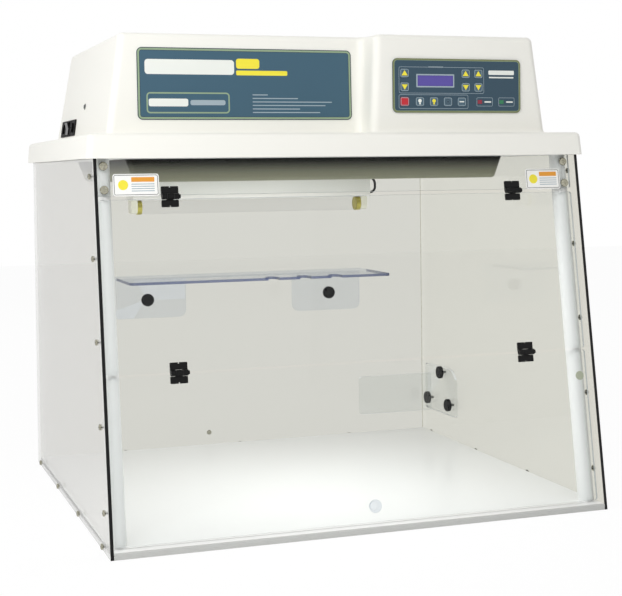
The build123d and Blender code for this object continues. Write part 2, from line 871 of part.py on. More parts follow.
tray_hollow = tray_form(tray_t)
with BuildPart() as filter_tray:
    add(tray_form(0))
    with BuildSketch(Plane.XY.offset(ceiling_top)) as rim_outline:
        with Locations((0, tray_mid_y)):
            RectangleRounded(
                2 * (tray_half + tray_rim), tray_depth + 2 * tray_rim, tray_corner_r + tray_rim
            )
    extrude(amount=tray_t)
    add(tray_hollow, mode=Mode.SUBTRACT)
    with BuildSketch(Plane.XY.offset(tray_bottom_z)) as vents:
        with Locations((0, vents_mid_y)):
            with GridLocations(vent_w + vent_rib, vent_d + vent_rib, vent_columns, vent_rows):
                RectangleRounded(vent_w, vent_d, vent_r)
    extrude(amount=tray_t, mode=Mode.SUBTRACT)
filter_tray.part.label = "filter_tray"
export_step(filter_tray.part, "parts/filter_tray.step")

# Filter: a rigid frame on the tray's floor, with a pleated pack inside it
filter_foot_z = tray_bottom_z + tray_t
filter_top_z = filter_foot_z + filter_height
filter_half = tray_floor_half - tray_t - filter_play
filter_depth = tray_depth - 2 * (tray_t + filter_play)
with BuildPart() as hepa_frame:
    with BuildSketch(Plane.XY.offset(filter_foot_z)) as frame_outline:
        with Locations((0, tray_mid_y)):
            RectangleRounded(2 * filter_half, filter_depth, tray_corner_r)
    extrude(amount=filter_height)
    chamfer(hepa_frame.edges().group_by(Axis.Z)[0], tray_floor_r - tray_t)
    with BuildSketch(Plane.XY.offset(filter_foot_z)) as pack_outline:
        with Locations((0, tray_mid_y)):
            Rectangle(2 * (filter_half - filter_wall), filter_depth - 2 * filter_wall)
    extrude(amount=filter_height, mode=Mode.SUBTRACT)
hepa_frame.part.label = "hepa_frame"
export_step(hepa_frame.part, "parts/hepa_frame.step")

pack_half = filter_half - filter_wall
pleat_step = 2 * (pack_half - pleat_t / 2) / (2 * pleat_count)
pleat_low_z = filter_foot_z + 2 * pleat_t
pleat_high_z = filter_top_z - 2 * pleat_t
with BuildPart() as hepa_media:
    pack_rear = Plane.XZ.offset(-(tray_mid_y + filter_depth / 2 - filter_wall))
    with BuildSketch(pack_rear) as pleats:
        crest_xs = [-pack_half + pleat_t / 2 + i * pleat_step for i in range(2 * pleat_count + 1)]
        crest_zs = [(pleat_low_z, pleat_high_z)[i % 2] for i in range(2 * pleat_count + 1)]
        slant = pleat_t * hypot(pleat_step, pleat_high_z - pleat_low_z) / pleat_step / 2
        upper = [(x, z + slant) for x, z in zip(crest_xs, crest_zs)]
        lower = [(x, z - slant) for x, z in zip(crest_xs, crest_zs)]
        with BuildLine() as pleat_edge:
            Polyline(*upper, *reversed(lower), close=True)
        make_face()
    extrude(amount=filter_depth - 2 * filter_wall)
    split(bisect_by=Plane.XY.offset(filter_foot_z), keep=Keep.TOP)
    split(bisect_by=Plane.XY.offset(filter_top_z), keep=Keep.BOTTOM)
hepa_media.part.label = "hepa_media"
export_step(hepa_media.part, "parts/hepa_media.step")

# Deck over the filter, with the blower's duct through it
deck_z = filter_top_z
deck_top_z = deck_z + deck_t
blower_r = (head_height - blower_headroom - deck_top_z - blower_foot) / 2
wheel_r = blower_r - wheel_gap
duct_mid_y = blower_y + blower_r - duct_depth / 2
with BuildPart() as blower_deck:
    with BuildSketch(Plane.XY.offset(deck_z)) as deck_outline:
        with Locations((0, tray_mid_y)):
            RectangleRounded(
                2 * (tray_half + deck_margin), tray_depth + 2 * deck_margin, tray_corner_r
            )
        with Locations((blower_x, duct_mid_y)):
            Rectangle(
                blower_width - 2 * blower_wall, duct_depth - 2 * blower_wall, mode=Mode.SUBTRACT
            )
    extrude(amount=deck_t)
blower_deck.part.label = "blower_deck"
export_step(blower_deck.part, "parts/blower_deck.step")

# Blower: a scroll housing that blows down through the deck, open on its left for the intake
axis_z = deck_top_z + blower_foot + blower_r
housing_left_x = blower_x - blower_width / 2
housing_right_x = blower_x + blower_width / 2


def scroll(inset):
    """The blower housing's outline across its axis, drawn in by the wall's thickness."""
    with BuildSketch() as outline:
        with Locations((blower_y, axis_z)):
            Circle(blower_r - inset)
        with Locations((duct_mid_y, (deck_top_z + axis_z) / 2)):
            Rectangle(duct_depth - 2 * inset, axis_z - deck_top_z)
    return outline.sketch


with BuildPart() as blower_housing:
    with BuildSketch(Plane.YZ.offset(housing_left_x)) as housing_outline:
        add(scroll(0))
    extrude(amount=blower_width)
    with BuildSketch(Plane.YZ.offset(housing_left_x + blower_wall)) as housing_hollow:
        add(scroll(blower_wall))
    extrude(amount=blower_width - 2 * blower_wall, mode=Mode.SUBTRACT)
    with BuildSketch(Plane.YZ.offset(housing_left_x)) as intake_eye:
        with Locations((blower_y, axis_z)):
            Circle(inlet_r)
    extrude(amount=blower_wall, mode=Mode.SUBTRACT)
    with BuildSketch(Plane.YZ.offset(housing_right_x)) as shaft_hole:
        with Locations((blower_y, axis_z)):
            Circle(wheel_hub_r)
    extrude(amount=-blower_wall, mode=Mode.SUBTRACT)
blower_housing.part.label = "blower_housing"
export_step(blower_housing.part, "parts/blower_housing.step")

with BuildPart() as blower_motor:
    with BuildSketch(Plane.YZ.offset(housing_right_x)) as motor_face:
        with Locations((blower_y, axis_z)):
            Circle(motor_r)
    extrude(amount=motor_length)
    fillet(blower_motor.edges().group_by(Axis.X)[-1], wheel_plate)
    with BuildSketch(Plane.YZ.offset(housing_right_x)) as motor_bore:
        with Locations((blower_y, axis_z)):
            Circle(shaft_r + running_gap)
    extrude(amount=shaft_in_motor + body_gap, mode=Mode.SUBTRACT)
blower_motor.part.label = "blower_motor"
export_step(blower_motor.part, "parts/blower_motor.step")

# Blower wheel: back plate, hub and shaft in one, a ring of blades and a front ring
wheel_left_x = blower_x - wheel_width / 2
wheel_right_x = blower_x + wheel_width / 2
with BuildPart() as impeller:
    with BuildSketch(Plane.YZ.offset(wheel_right_x - wheel_plate)) as back_plate:
        with Locations((blower_y, axis_z)):
            Circle(wheel_r)
    extrude(amount=wheel_plate)
    with BuildSketch(Plane.YZ.offset(wheel_left_x)) as front_ring:
        with Locations((blower_y, axis_z)):
            Circle(wheel_r)
            Circle(wheel_r - wheel_ring, mode=Mode.SUBTRACT)
    extrude(amount=wheel_plate)
    with BuildSketch(Plane.YZ.offset(wheel_left_x + wheel_plate)) as blades:
        with Locations((blower_y, axis_z)):
            with PolarLocations(wheel_r - wheel_ring / 2, blade_count):
                Rectangle(wheel_ring - blade_t, blade_t, rotation=blade_angle)
    extrude(amount=wheel_width - 2 * wheel_plate)
    with BuildSketch(Plane.YZ.offset(wheel_right_x - 4 * wheel_plate)) as hub:
        with Locations((blower_y, axis_z)):
            Circle(wheel_hub_r - body_gap - wheel_plate)
    extrude(amount=4 * wheel_plate)
    with BuildSketch(Plane.YZ.offset(wheel_right_x)) as shaft:
        with Locations((blower_y, axis_z)):
            Circle(shaft_r)
    extrude(amount=housing_right_x + shaft_in_motor - wheel_right_x)
impeller.part.label = "impeller"
export_step(impeller.part, "parts/impeller.step")

# Ballast on the ceiling plate, beside the filter
with BuildPart() as ballast:
    with BuildSketch(Plane.XY.offset(ceiling_top)) as ballast_outline:
        with Locations((ballast_x, ballast_y)):
            RectangleRounded(ballast_width, ballast_length, ballast_r)
    extrude(amount=ballast_height)
ballast.part.label = "ballast"
export_step(ballast.part, "parts/ballast.step")

# UV lamp: a folded white housing under the tray, two lampholders and a clear tube
lamp_box_height = tray_bottom_z - lamp_box_bottom
with BuildPart() as lamp_housing:
    with BuildSketch(Plane.YZ.offset(lamp_left_x)) as lamp_section:
        with Locations((lamp_y, lamp_box_bottom + lamp_box_height / 2)):
            Rectangle(lamp_box_width, lamp_box_height)
        low_corners = lamp_section.vertices().group_by(Axis.Y)[0]
        fillet(low_corners, lamp_box_r)
    extrude(amount=2 * lamp_half)
    with BuildSketch(Plane.YZ.offset(lamp_left_x + lamp_box_t)) as lamp_hollow:
        with Locations((lamp_y, lamp_box_bottom + (lamp_box_height + lamp_box_t) / 2)):
            Rectangle(lamp_box_width - 2 * lamp_box_t, lamp_box_height - lamp_box_t)
        low_corners = lamp_hollow.vertices().group_by(Axis.Y)[0]
        fillet(low_corners, lamp_box_r - lamp_box_t)
    extrude(amount=2 * (lamp_half - lamp_box_t), mode=Mode.SUBTRACT)
    with BuildSketch(Plane.YZ.offset(lamp_right_x)) as lead_hole:
        with Locations((lamp_y, lead_z)):
            Circle(lead_r + seat_gap)
    extrude(amount=-lamp_box_t, mode=Mode.SUBTRACT)
lamp_housing.part.label = "lamp_housing"
export_step(lamp_housing.part, "parts/lamp_housing.step")

holder_low_z = lamp_box_bottom - holder_drop
tube_half = lamp_half - holder_t
with BuildPart() as lampholders:
    for side in (-1, 1):
        with BuildSketch(Plane.YZ.offset(lamp_x + side * tube_half)) as holder_face:
            with Locations((lamp_y, (holder_low_z + lamp_box_bottom) / 2)):
                Rectangle(holder_width, holder_drop)
            low_corners = holder_face.vertices().group_by(Axis.Y)[0]
            fillet(low_corners, lampholder_r)
            for pin in (-0.5, 0.5):
                with Locations((lamp_y + pin * cap_pin_pitch, tube_z)):
                    Circle(cap_pin_r + seat_gap, mode=Mode.SUBTRACT)
        extrude(amount=side * holder_t)
lampholders.part.label = "lampholders"
export_step(lampholders.part, "parts/lampholders.step")

with BuildPart() as uv_tube:
    with BuildSketch(Plane.YZ.offset(lamp_x - tube_half + cap_length)) as glass_section:
        with Locations((lamp_y, tube_z)):
            Circle(tube_r)
            Circle(tube_r - tube_wall, mode=Mode.SUBTRACT)
    extrude(amount=2 * (tube_half - cap_length))
uv_tube.part.label = "uv_tube"
export_step(uv_tube.part, "parts/uv_tube.step")

with BuildPart() as tube_caps:
    for side in (-1, 1):
        cap_face = Plane.YZ.offset(lamp_x + side * (tube_half - seat_gap))
        with BuildSketch(cap_face) as cap_disc:
            with Locations((lamp_y, tube_z)):
                Circle(cap_r)
        extrude(amount=-side * (cap_length - seat_gap))
        with BuildSketch(cap_face) as cap_pins:
            for pin in (-0.5, 0.5):
                with Locations((lamp_y + pin * cap_pin_pitch, tube_z)):
                    Circle(cap_pin_r)
        extrude(amount=side * cap_pin_length)
tube_caps.part.label = "tube_caps"
export_step(tube_caps.part, "parts/tube_caps.step")

# Lamp lead: out of the housing's right end, round in a loop and up into the tray's floor
lead_turn_x = lamp_right_x + lead_out
lead_rise_x = lead_turn_x + lead_turn_r
hook_foot_z = lead_z + lead_turn_r + lead_rise
with BuildPart() as lamp_lead:
    with BuildLine() as lead_route:
        Line((lamp_right_x - lamp_box_t, lamp_y, lead_z), (lead_turn_x, lamp_y, lead_z))
        corner = lead_turn_r * sin(radians(45))
        ThreePointArc(
            (lead_turn_x, lamp_y, lead_z),
            (lead_turn_x + corner, lamp_y, lead_z + lead_turn_r - corner),
            (lead_rise_x, lamp_y, lead_z + lead_turn_r),
        )
        Line((lead_rise_x, lamp_y, lead_z + lead_turn_r), (lead_rise_x, lamp_y, hook_foot_z))
        hook_angle = radians(lead_hook_turn)
        hook_half = hook_angle / 2
        ThreePointArc(
            (lead_rise_x, lamp_y, hook_foot_z),
            (
                lead_rise_x - lead_hook_r * (1 - cos(hook_half)),
                lamp_y,
                hook_foot_z + lead_hook_r * sin(hook_half),
            ),
            (
                lead_rise_x - lead_hook_r * (1 - cos(hook_angle)),
                lamp_y,
                hook_foot_z + lead_hook_r * sin(hook_angle),
            ),
        )
    with BuildSketch(Plane.YZ.offset(lamp_right_x - lamp_box_t)) as lead_section:
        with Locations((lamp_y, lead_z)):
            Circle(lead_r)
    sweep()
    split(bisect_by=Plane.XY.offset(tray_bottom_z), keep=Keep.BOTTOM)
lamp_lead.part.label = "lamp_lead"
export_step(lamp_lead.part, "parts/lamp_lead.step")

# Moulded head: a skirt round the top of the cabinet, and a housing whose right part stands forward
skirt_mid_y = (front_skirt_y + skirt_rear_y) / 2
skirt_depth = skirt_rear_y - front_skirt_y


def housing_corners(foot_half, left_y, right_y, back_y, step_x, inset):
    """Plan of the housing at one height, drawn in by inset on every wall."""
    return (
        (-foot_half + inset, back_y - inset),
        (-foot_half + inset, left_y + inset),
        (step_x + inset, left_y + inset),
        (step_x + inset, right_y + inset),
        (foot_half - inset, right_y + inset),
        (foot_half - inset, back_y - inset),
    )


def upright_at(form, corner):
    """The housing's upright edge that is nearest to a corner of its foot."""
    uprights = form.edges().filter_by(Axis.X, reverse=True).filter_by(Axis.Y, reverse=True)
    return uprights.sort_by_distance((*corner, (skirt_top + head_height) / 2))[:1]


def root_edges(form):
    """Edges where the housing rises out of the skirt."""
    level = form.edges().filter_by_position(Axis.Z, skirt_top - seat_gap, skirt_top + seat_gap)
    reach = head_foot_half + body_gap
    across = level.filter_by_position(Axis.X, -reach, reach)
    return across.filter_by_position(Axis.Y, right_foot_y - body_gap, rear_foot_y + body_gap)


def head_form(inset):
    """Outer form of the head, or with an inset the hollow inside it."""
    foot = housing_corners(
        head_foot_half, left_foot_y, right_foot_y, rear_foot_y, step_foot_x, inset
    )
    crown = housing_corners(
        head_crown_half, left_crown_y, right_foot_y, rear_crown_y, step_crown_x, inset
    )
    with BuildPart() as form:
        with BuildSketch(Plane.XY.offset(skirt_top - inset)) as housing_foot:
            with BuildLine() as foot_edge:
                Polyline(*foot, close=True)
            make_face()
        with BuildSketch(Plane.XY.offset(head_height - inset)) as housing_crown:
            with BuildLine() as crown_edge:
                Polyline(*crown, close=True)
            make_face()
        loft(ruled=True)
        outer_corners = (foot[0], foot[1], foot[4], foot[5])
        for corner in outer_corners:
            fillet(upright_at(form, corner), head_corner_r - inset)
        fillet(upright_at(form, foot[2]), step_corner_r + inset)
        fillet(upright_at(form, foot[3]), step_corner_r - inset)
        fillet(form.edges().group_by(Axis.Z)[-1], head_edge_r - inset)
    corner_r = skirt_inner_r if inset else skirt_corner_r
    with BuildPart() as whole:
        with BuildSketch(Plane.XY.offset(skirt_bottom)) as skirt_foot:
            with Locations((0, skirt_mid_y)):
                RectangleRounded(head_width - 2 * inset, skirt_depth - 2 * inset, corner_r)
        with BuildSketch(Plane.XY.offset(skirt_top - inset)) as skirt_crown:
            with Locations((0, skirt_mid_y)):
                RectangleRounded(
                    head_width - 2 * (inset + skirt_draft),
                    skirt_depth - 2 * (inset + skirt_draft),
                    corner_r,
                )
        loft()
        if inset == 0:
            fillet(whole.edges().group_by(Axis.Z)[-1], skirt_edge_r)
        add(form.part)
        if inset == 0:
            fillet(root_edges(whole), head_root_r)
    return whole.part


def wall_plane(foot, crown, across):
    """Plane on a leaning wall of the head: its Y runs up the wall and its Z out of it."""
    rise = Vector(*crown) - Vector(*foot)
    return Plane(origin=foot, x_dir=across, z_dir=Vector(*across).cross(rise))


left_front_wall = wall_plane(
    (0, left_foot_y, skirt_top), (0, left_crown_y, head_height), (1, 0, 0)
)
right_front_wall = wall_plane(
    (0, right_foot_y, skirt_top), (0, right_foot_y, head_height), (1, 0, 0)
)
left_side_wall = wall_plane(
    (-head_foot_half, 0, skirt_top), (-head_crown_half, 0, head_height), (0, -1, 0)
)

# Key, window and boss places on the control panel, from its centre
key_places = {
    "key_left_up": (left_arrow_x, upper_row),
    "key_left_down": (left_arrow_x, lower_row),
    "key_middle_up": (middle_arrow_x, upper_row),
    "key_middle_down": (middle_arrow_x, lower_row),
    "key_right_up": (right_arrow_x, upper_row),
    "key_right_down": (right_arrow_x, lower_row),
    "key_stop": (left_arrow_x, function_row),
    "key_uv_lamp": (function_key_x, function_row),
    "key_work_lamp": (function_key_x + function_pitch, function_row),
    "key_blower": (function_key_x + 2 * function_pitch, function_row),
    "key_mode": (function_key_x + 3 * function_pitch, function_row),
}
led_places = ((red_led_x, led_y), (green_led_x, led_y))
panel_plane = Plane(
    origin=right_front_wall.from_local_coords(Vector(panel_x, panel_z - skirt_top, 0)),
    x_dir=right_front_wall.x_dir,
    z_dir=right_front_wall.z_dir,
)
board_face_w = -(head_wall + body_gap + display_body_t)
stem_hole_r = key_stem_r + body_gap


def entry_plane(y):
    """Plane on the head's left wall at the height of the mains entry, centred at y."""
    rise = (entry_z - skirt_top) / left_side_wall.y_dir.Z
    return Plane(
        origin=left_side_wall.from_local_coords(Vector(-y, rise, 0)),
        x_dir=left_side_wall.x_dir,
        z_dir=left_side_wall.z_dir,
    )


inlet_plane = entry_plane(inlet_y)
switch_plane = entry_plane(switch_y)
fuse_plane = entry_plane(fuse_y)

with BuildPart() as head_cover:
    add(head_form(0))
    add(head_form(head_wall), mode=Mode.SUBTRACT)
    with BuildSketch(Plane.XY.offset(head_height)) as intake_opening:
        with Locations((intake_x, intake_y)):
            Rectangle(intake_width, intake_depth)
    extrude(amount=-2 * head_wall, mode=Mode.SUBTRACT)
    with BuildSketch(panel_plane) as panel_holes:
        hole_circles(stem_hole_r, key_places.values())
        with Locations((display_x, display_y)):
            Rectangle(display_w + 2 * seat_gap, display_h + 2 * seat_gap)
        with Locations(*led_places):
            Rectangle(led_w, led_h)
    extrude(amount=-2 * head_wall, mode=Mode.SUBTRACT)
    with BuildSketch(inlet_plane) as inlet_hole:
        Rectangle(inlet_body_w + 2 * body_gap, inlet_body_h + 2 * body_gap)
    extrude(amount=-3 * head_wall, mode=Mode.SUBTRACT)
    with BuildSketch(switch_plane) as switch_hole:
        Rectangle(switch_body_w + 2 * body_gap, switch_body_h + 2 * body_gap)
    extrude(amount=-3 * head_wall, mode=Mode.SUBTRACT)
    with BuildSketch(fuse_plane) as fuse_hole:
        Circle(fuse_body_r + body_gap)
    extrude(amount=-3 * head_wall, mode=Mode.SUBTRACT)
    with BuildSketch(panel_plane.offset(-head_wall)) as bosses:
        with GridLocations(2 * boss_x, 2 * boss_y, 2, 2):
            Circle(boss_r)
    extrude(amount=board_face_w + head_wall)
head_cover.part.label = "head_cover"
export_step(head_cover.part, "parts/head_cover.step")

# Intake grille: a slotted plate whose skirt hangs in the opening and carries the prefilter pad
grille_low_z = head_height - grille_skirt
cup_w = intake_width - 2 * body_gap
cup_d = intake_depth - 2 * body_gap
with BuildPart() as intake_grille:
    with BuildSketch(Plane.XY.offset(head_height)) as grille_plate:
        with Locations((intake_x, intake_y)):
            RectangleRounded(
                intake_width + 2 * grille_rim, intake_depth + 2 * grille_rim, grille_rim
            )
            with GridLocations(
                (intake_width - grille_bar) / 2, grille_slot_pitch, 2, grille_slot_count
            ):
                SlotOverall(
                    (intake_width - 3 * grille_bar) / 2, grille_slot_w, mode=Mode.SUBTRACT
                )
    extrude(amount=grille_t)
    with BuildSketch(Plane.XY.offset(grille_low_z)) as grille_cup:
        with Locations((intake_x, intake_y)):
            Rectangle(cup_w, cup_d)
            Rectangle(cup_w - 2 * grille_wall, cup_d - 2 * grille_wall, mode=Mode.SUBTRACT)
    extrude(amount=grille_skirt)
    with BuildSketch(Plane.XY.offset(grille_low_z)) as grille_ledge:
        with Locations((intake_x, intake_y)):
            Rectangle(cup_w, cup_d)
            Rectangle(cup_w - 2 * grille_lip, cup_d - 2 * grille_lip, mode=Mode.SUBTRACT)
    extrude(amount=grille_skirt - prefilter_t - 2 * body_gap)
intake_grille.part.label = "intake_grille"
export_step(intake_grille.part, "parts/intake_grille.step")

with BuildPart() as prefilter_pad:
    with BuildSketch(Plane.XY.offset(head_height - prefilter_t - body_gap)) as pad_outline:
        with Locations((intake_x, intake_y)):
            pad_gap = grille_wall + body_gap
            Rectangle(cup_w - 2 * pad_gap, cup_d - 2 * pad_gap)
    extrude(amount=prefilter_t)
prefilter_pad.part.label = "prefilter_pad"
export_step(prefilter_pad.part, "parts/prefilter_pad.step")

# Nameplate and control panel on the head's two front faces
with BuildPart() as nameplate:
    rise = (plate_z - skirt_top) / left_front_wall.y_dir.Z
    with BuildSketch(left_front_wall) as nameplate_outline:
        with Locations((plate_x, rise)):
            RectangleRounded(plate_width, plate_height, plate_r)
    extrude(amount=plate_t)
nameplate.part.label = "nameplate"
export_step(nameplate.part, "parts/nameplate.step")

with BuildPart() as control_overlay:
    with BuildSketch(panel_plane) as overlay_outline:
        RectangleRounded(overlay_width, overlay_height, overlay_r)
        with Locations(*key_places.values()):
            RectangleRounded(
                key_w + 2 * body_gap, key_h + 2 * body_gap, key_r + body_gap, mode=Mode.SUBTRACT
            )
        with Locations((display_x, display_y)):
            Rectangle(display_w + 2 * seat_gap, display_h + 2 * seat_gap, mode=Mode.SUBTRACT)
        with Locations(*led_places):
            Rectangle(led_w, led_h, mode=Mode.SUBTRACT)
    extrude(amount=overlay_t)
control_overlay.part.label = "control_overlay"
export_step(control_overlay.part, "parts/control_overlay.step")

# Keys: a cap in the panel's window and a stem through the wall to its switch on the board
stem_end_w = board_face_w + switch_h + key_travel + body_gap
for key_name, key_place in key_places.items():
    with BuildPart() as key:
        with BuildSketch(panel_plane.offset(key_float)) as key_cap:
            with Locations(key_place):
                RectangleRounded(key_w, key_h, key_r)
        extrude(amount=overlay_t + key_proud - key_float)
        fillet(key.edges().group_by(Axis.Y)[0], key_edge_r)
        with BuildSketch(panel_plane.offset(key_float)) as key_stem:
            with Locations(key_place):
                Circle(key_stem_r)
        extrude(amount=stem_end_w - key_float)
    key.part.label = key_name
    export_step(key.part, f"parts/{key_name}.step")

with BuildPart() as display_module:
    with BuildSketch(panel_plane.offset(board_face_w)) as display_body:
        with Locations((display_x, display_y)):
            Rectangle(
                display_w + 2 * display_body_margin, display_h + 2 * display_body_margin
            )
    extrude(amount=display_body_t)
    with BuildSketch(panel_plane.offset(board_face_w)) as display_glass:
        with Locations((display_x, display_y)):
            Rectangle(display_w, display_h)
    extrude(amount=display_proud - board_face_w)
display_module.part.label = "display_module"
export_step(display_module.part, "parts/display_module.step")

with BuildPart() as indicator_leds:
    with BuildSketch(panel_plane.offset(board_face_w)) as light_pipes:
        with Locations(*led_places):
            Rectangle(led_w - 2 * seat_gap, led_h - 2 * seat_gap)
    extrude(amount=overlay_t - board_face_w)
indicator_leds.part.label = "indicator_leds"
export_step(indicator_leds.part, "parts/indicator_leds.step")

with BuildPart() as control_board:
    with BuildSketch(panel_plane.offset(board_face_w)) as board_outline:
        RectangleRounded(board_w, board_h, board_r)
    extrude(amount=-board_t)
    with BuildSketch(panel_plane.offset(board_face_w)) as switches:
        with Locations(*key_places.values()):
            Rectangle(switch_w, switch_w)
    extrude(amount=switch_h)
control_board.part.label = "control_board"
export_step(control_board.part, "parts/control_board.step")

# Mains entry: inlet with three blades, rocker switch in its frame, and fuse holder
with BuildPart() as power_inlet:
    with BuildSketch(inlet_plane) as inlet_flange:
        RectangleRounded(inlet_plate_w, entry_plate_h, entry_plate_r)
    extrude(amount=entry_plate_t)
    with BuildSketch(inlet_plane) as inlet_body:
        Rectangle(inlet_body_w, inlet_body_h)
    extrude(amount=-inlet_depth)
    with BuildSketch(inlet_plane.offset(entry_plate_t)) as socket_outline:
        with BuildLine() as socket_edge:
            half_w = socket_w / 2
            half_h = socket_h / 2
            Polyline(
                (-half_w, -half_h), (half_w, -half_h), (half_w, half_h - socket_cut),
                (half_w - socket_cut, half_h), (-half_w + socket_cut, half_h),
                (-half_w, half_h - socket_cut),
                close=True,
            )
        make_face()
    extrude(amount=-socket_depth - entry_plate_t, mode=Mode.SUBTRACT)
power_inlet.part.label = "power_inlet"
export_step(power_inlet.part, "parts/power_inlet.step")

with BuildPart() as inlet_pins:
    with BuildSketch(inlet_plane.offset(-socket_depth)) as pin_outlines:
        outer_blades = [(side * blade_spread, -blade_h / 2) for side in (-1, 1)]
        with Locations(*outer_blades, (0, blade_h / 2)):
            Rectangle(blade_w, blade_h)
    extrude(amount=blade_l)
inlet_pins.part.label = "inlet_pins"
export_step(inlet_pins.part, "parts/inlet_pins.step")

# The rocker's section plane has its X up the wall, its Y out of it and its pins along its Z
rocker_axis_plane = Plane(
    switch_plane.origin, x_dir=switch_plane.y_dir, z_dir=switch_plane.x_dir
)
rocker_wing = rocker_half * sin(radians(rocker_tilt))
rocker_well_depth = rocker_root_r + 2 * body_gap
with BuildPart() as switch_bezel:
    with BuildSketch(switch_plane) as bezel_flange:
        RectangleRounded(switch_plate_w, entry_plate_h, entry_plate_r)
    extrude(amount=entry_plate_t)
    with BuildSketch(switch_plane) as bezel_body:
        Rectangle(switch_body_w, switch_body_h)
    extrude(amount=-switch_depth)
    with BuildSketch(switch_plane.offset(entry_plate_t)) as rocker_well:
        Rectangle(rocker_w + 2 * body_gap, 2 * rocker_well_half)
    extrude(amount=-entry_plate_t - rocker_well_depth, mode=Mode.SUBTRACT)
    with BuildSketch(rocker_axis_plane) as pin_sockets:
        Circle(rocker_pin_r + running_gap)
    extrude(amount=rocker_w / 2 + rocker_pin_l + body_gap, both=True, mode=Mode.SUBTRACT)
switch_bezel.part.label = "switch_bezel"
export_step(switch_bezel.part, "parts/switch_bezel.step")

# Rocker: a paddle on two stub pins, at rest with its lower half pressed in
tilt = radians(rocker_tilt)
rocker_section = Plane(
    switch_plane.origin,
    x_dir=rocker_axis_plane.x_dir * cos(tilt) + rocker_axis_plane.y_dir * sin(tilt),
    z_dir=rocker_axis_plane.z_dir,
)
with BuildPart() as rocker_switch:
    with BuildSketch(rocker_section) as rocker_profile:
        with BuildLine() as rocker_edge:
            top_w = entry_plate_t + rocker_proud
            Polyline(
                (-rocker_half, top_w + rocker_wing), (0, top_w), (rocker_half, top_w + rocker_wing),
                (rocker_half, entry_plate_t), (rocker_root_r, -rocker_root_r / 2),
                (-rocker_root_r, -rocker_root_r / 2), (-rocker_half, entry_plate_t),
                close=True,
            )
        make_face()
    extrude(amount=rocker_w / 2, both=True)
    with BuildSketch(rocker_section) as rocker_pins:
        Circle(rocker_pin_r)
    extrude(amount=rocker_w / 2 + rocker_pin_l, both=True)
rocker_switch.part.label = "rocker_switch"
export_step(rocker_switch.part, "parts/rocker_switch.step")

with BuildPart() as fuse_holder:
    with BuildSketch(fuse_plane) as fuse_flange:
        RectangleRounded(fuse_plate_w, entry_plate_h, entry_plate_r)
    extrude(amount=entry_plate_t)
    with BuildSketch(fuse_plane) as fuse_cap:
        Circle(fuse_cap_r)
    extrude(amount=entry_plate_t + fuse_cap_h)
    with BuildSketch(fuse_plane) as fuse_body:
        Circle(fuse_body_r)
    extrude(amount=-fuse_depth)
    with BuildSketch(fuse_plane.offset(entry_plate_t + fuse_cap_h)) as driver_slot:
        Rectangle(fuse_cap_r, fuse_slot)
    extrude(amount=-fuse_slot, mode=Mode.SUBTRACT)
fuse_holder.part.label = "fuse_holder"
export_step(fuse_holder.part, "parts/fuse_holder.step")
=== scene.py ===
"""Looks of a PCR workstation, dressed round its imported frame.

A clear bench cabinet with a white worktop, a bi-fold clear front and a moulded white head. Sizes
of pieces are in millimetres until Place.at turns them to metres. X runs right, Y back and Z up.
"""

import logging
from dataclasses import dataclass
from enum import Enum
from math import cos, pi, radians, sin

import bpy
import numpy as np
from mathutils import Matrix, Vector


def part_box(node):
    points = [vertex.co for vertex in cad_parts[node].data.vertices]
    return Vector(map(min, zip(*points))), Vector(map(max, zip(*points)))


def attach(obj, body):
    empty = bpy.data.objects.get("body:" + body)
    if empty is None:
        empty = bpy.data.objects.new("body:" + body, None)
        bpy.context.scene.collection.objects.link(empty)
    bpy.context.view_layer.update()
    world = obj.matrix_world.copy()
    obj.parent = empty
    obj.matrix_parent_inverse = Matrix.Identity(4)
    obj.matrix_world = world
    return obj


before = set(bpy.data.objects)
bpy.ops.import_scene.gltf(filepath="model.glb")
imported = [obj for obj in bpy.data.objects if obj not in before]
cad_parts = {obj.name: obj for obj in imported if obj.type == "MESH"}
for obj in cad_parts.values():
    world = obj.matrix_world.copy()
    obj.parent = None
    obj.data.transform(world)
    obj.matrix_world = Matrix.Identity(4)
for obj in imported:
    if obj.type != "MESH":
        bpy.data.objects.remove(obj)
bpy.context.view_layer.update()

MM = 0.001
CABINET = "cabinet"  # the body that stands still
FRONT_LEAN = 8.84  # degrees that the clear front leans back
INK = 0.05  # thickness of a printed mark
CORNER_STEPS = 8  # parts of a round corner
SHARPEST = 0.05  # smallest radius of a corner
SQUARE_ON = 0.9  # a face looks along an axis where the cosine between them is over this
WHITE = "#FFFFFF"
log = logging.getLogger("workstation")

Triple = tuple[float, float, float]
Sheet = tuple[np.ndarray, list[tuple[int, ...]]]
Tree = bpy.types.NodeTree
Socket = bpy.types.NodeSocket


# Colour, nodes and materials


def linear(code: str) -> tuple[float, float, float, float]:
    """Turns a colour to linear light by the sRGB curve.

    Args:
        code: the colour as an sRGB hex value.

    Returns:
        Linear red, green and blue, and an alpha of 1.
    """
    srgb = np.array([int(code[i : i + 2], 16) for i in (1, 3, 5)]) / 255
    light = np.where(srgb <= 0.04045, srgb / 12.92, ((srgb + 0.055) / 1.055) ** 2.4)
    return (*light.tolist(), 1.0)


def add_node(
    tree: Tree, kind: str, inputs: dict[str | int, object] | None = None, **settings: object
) -> bpy.types.Node:
    """Adds one shader node.

    Args:
        tree: the material's node tree.
        kind: the node's Blender type.
        inputs: for each input socket, its fixed value or the output socket that feeds it.
        **settings: the node's own properties.

    Returns:
        The new node.
    """
    node = tree.nodes.new(kind)
    for name, value in settings.items():
        setattr(node, name, value)
    for name, value in (inputs or {}).items():
        if isinstance(value, Socket):
            tree.links.new(value, node.inputs[name])
        else:
            node.inputs[name].default_value = value
    return node


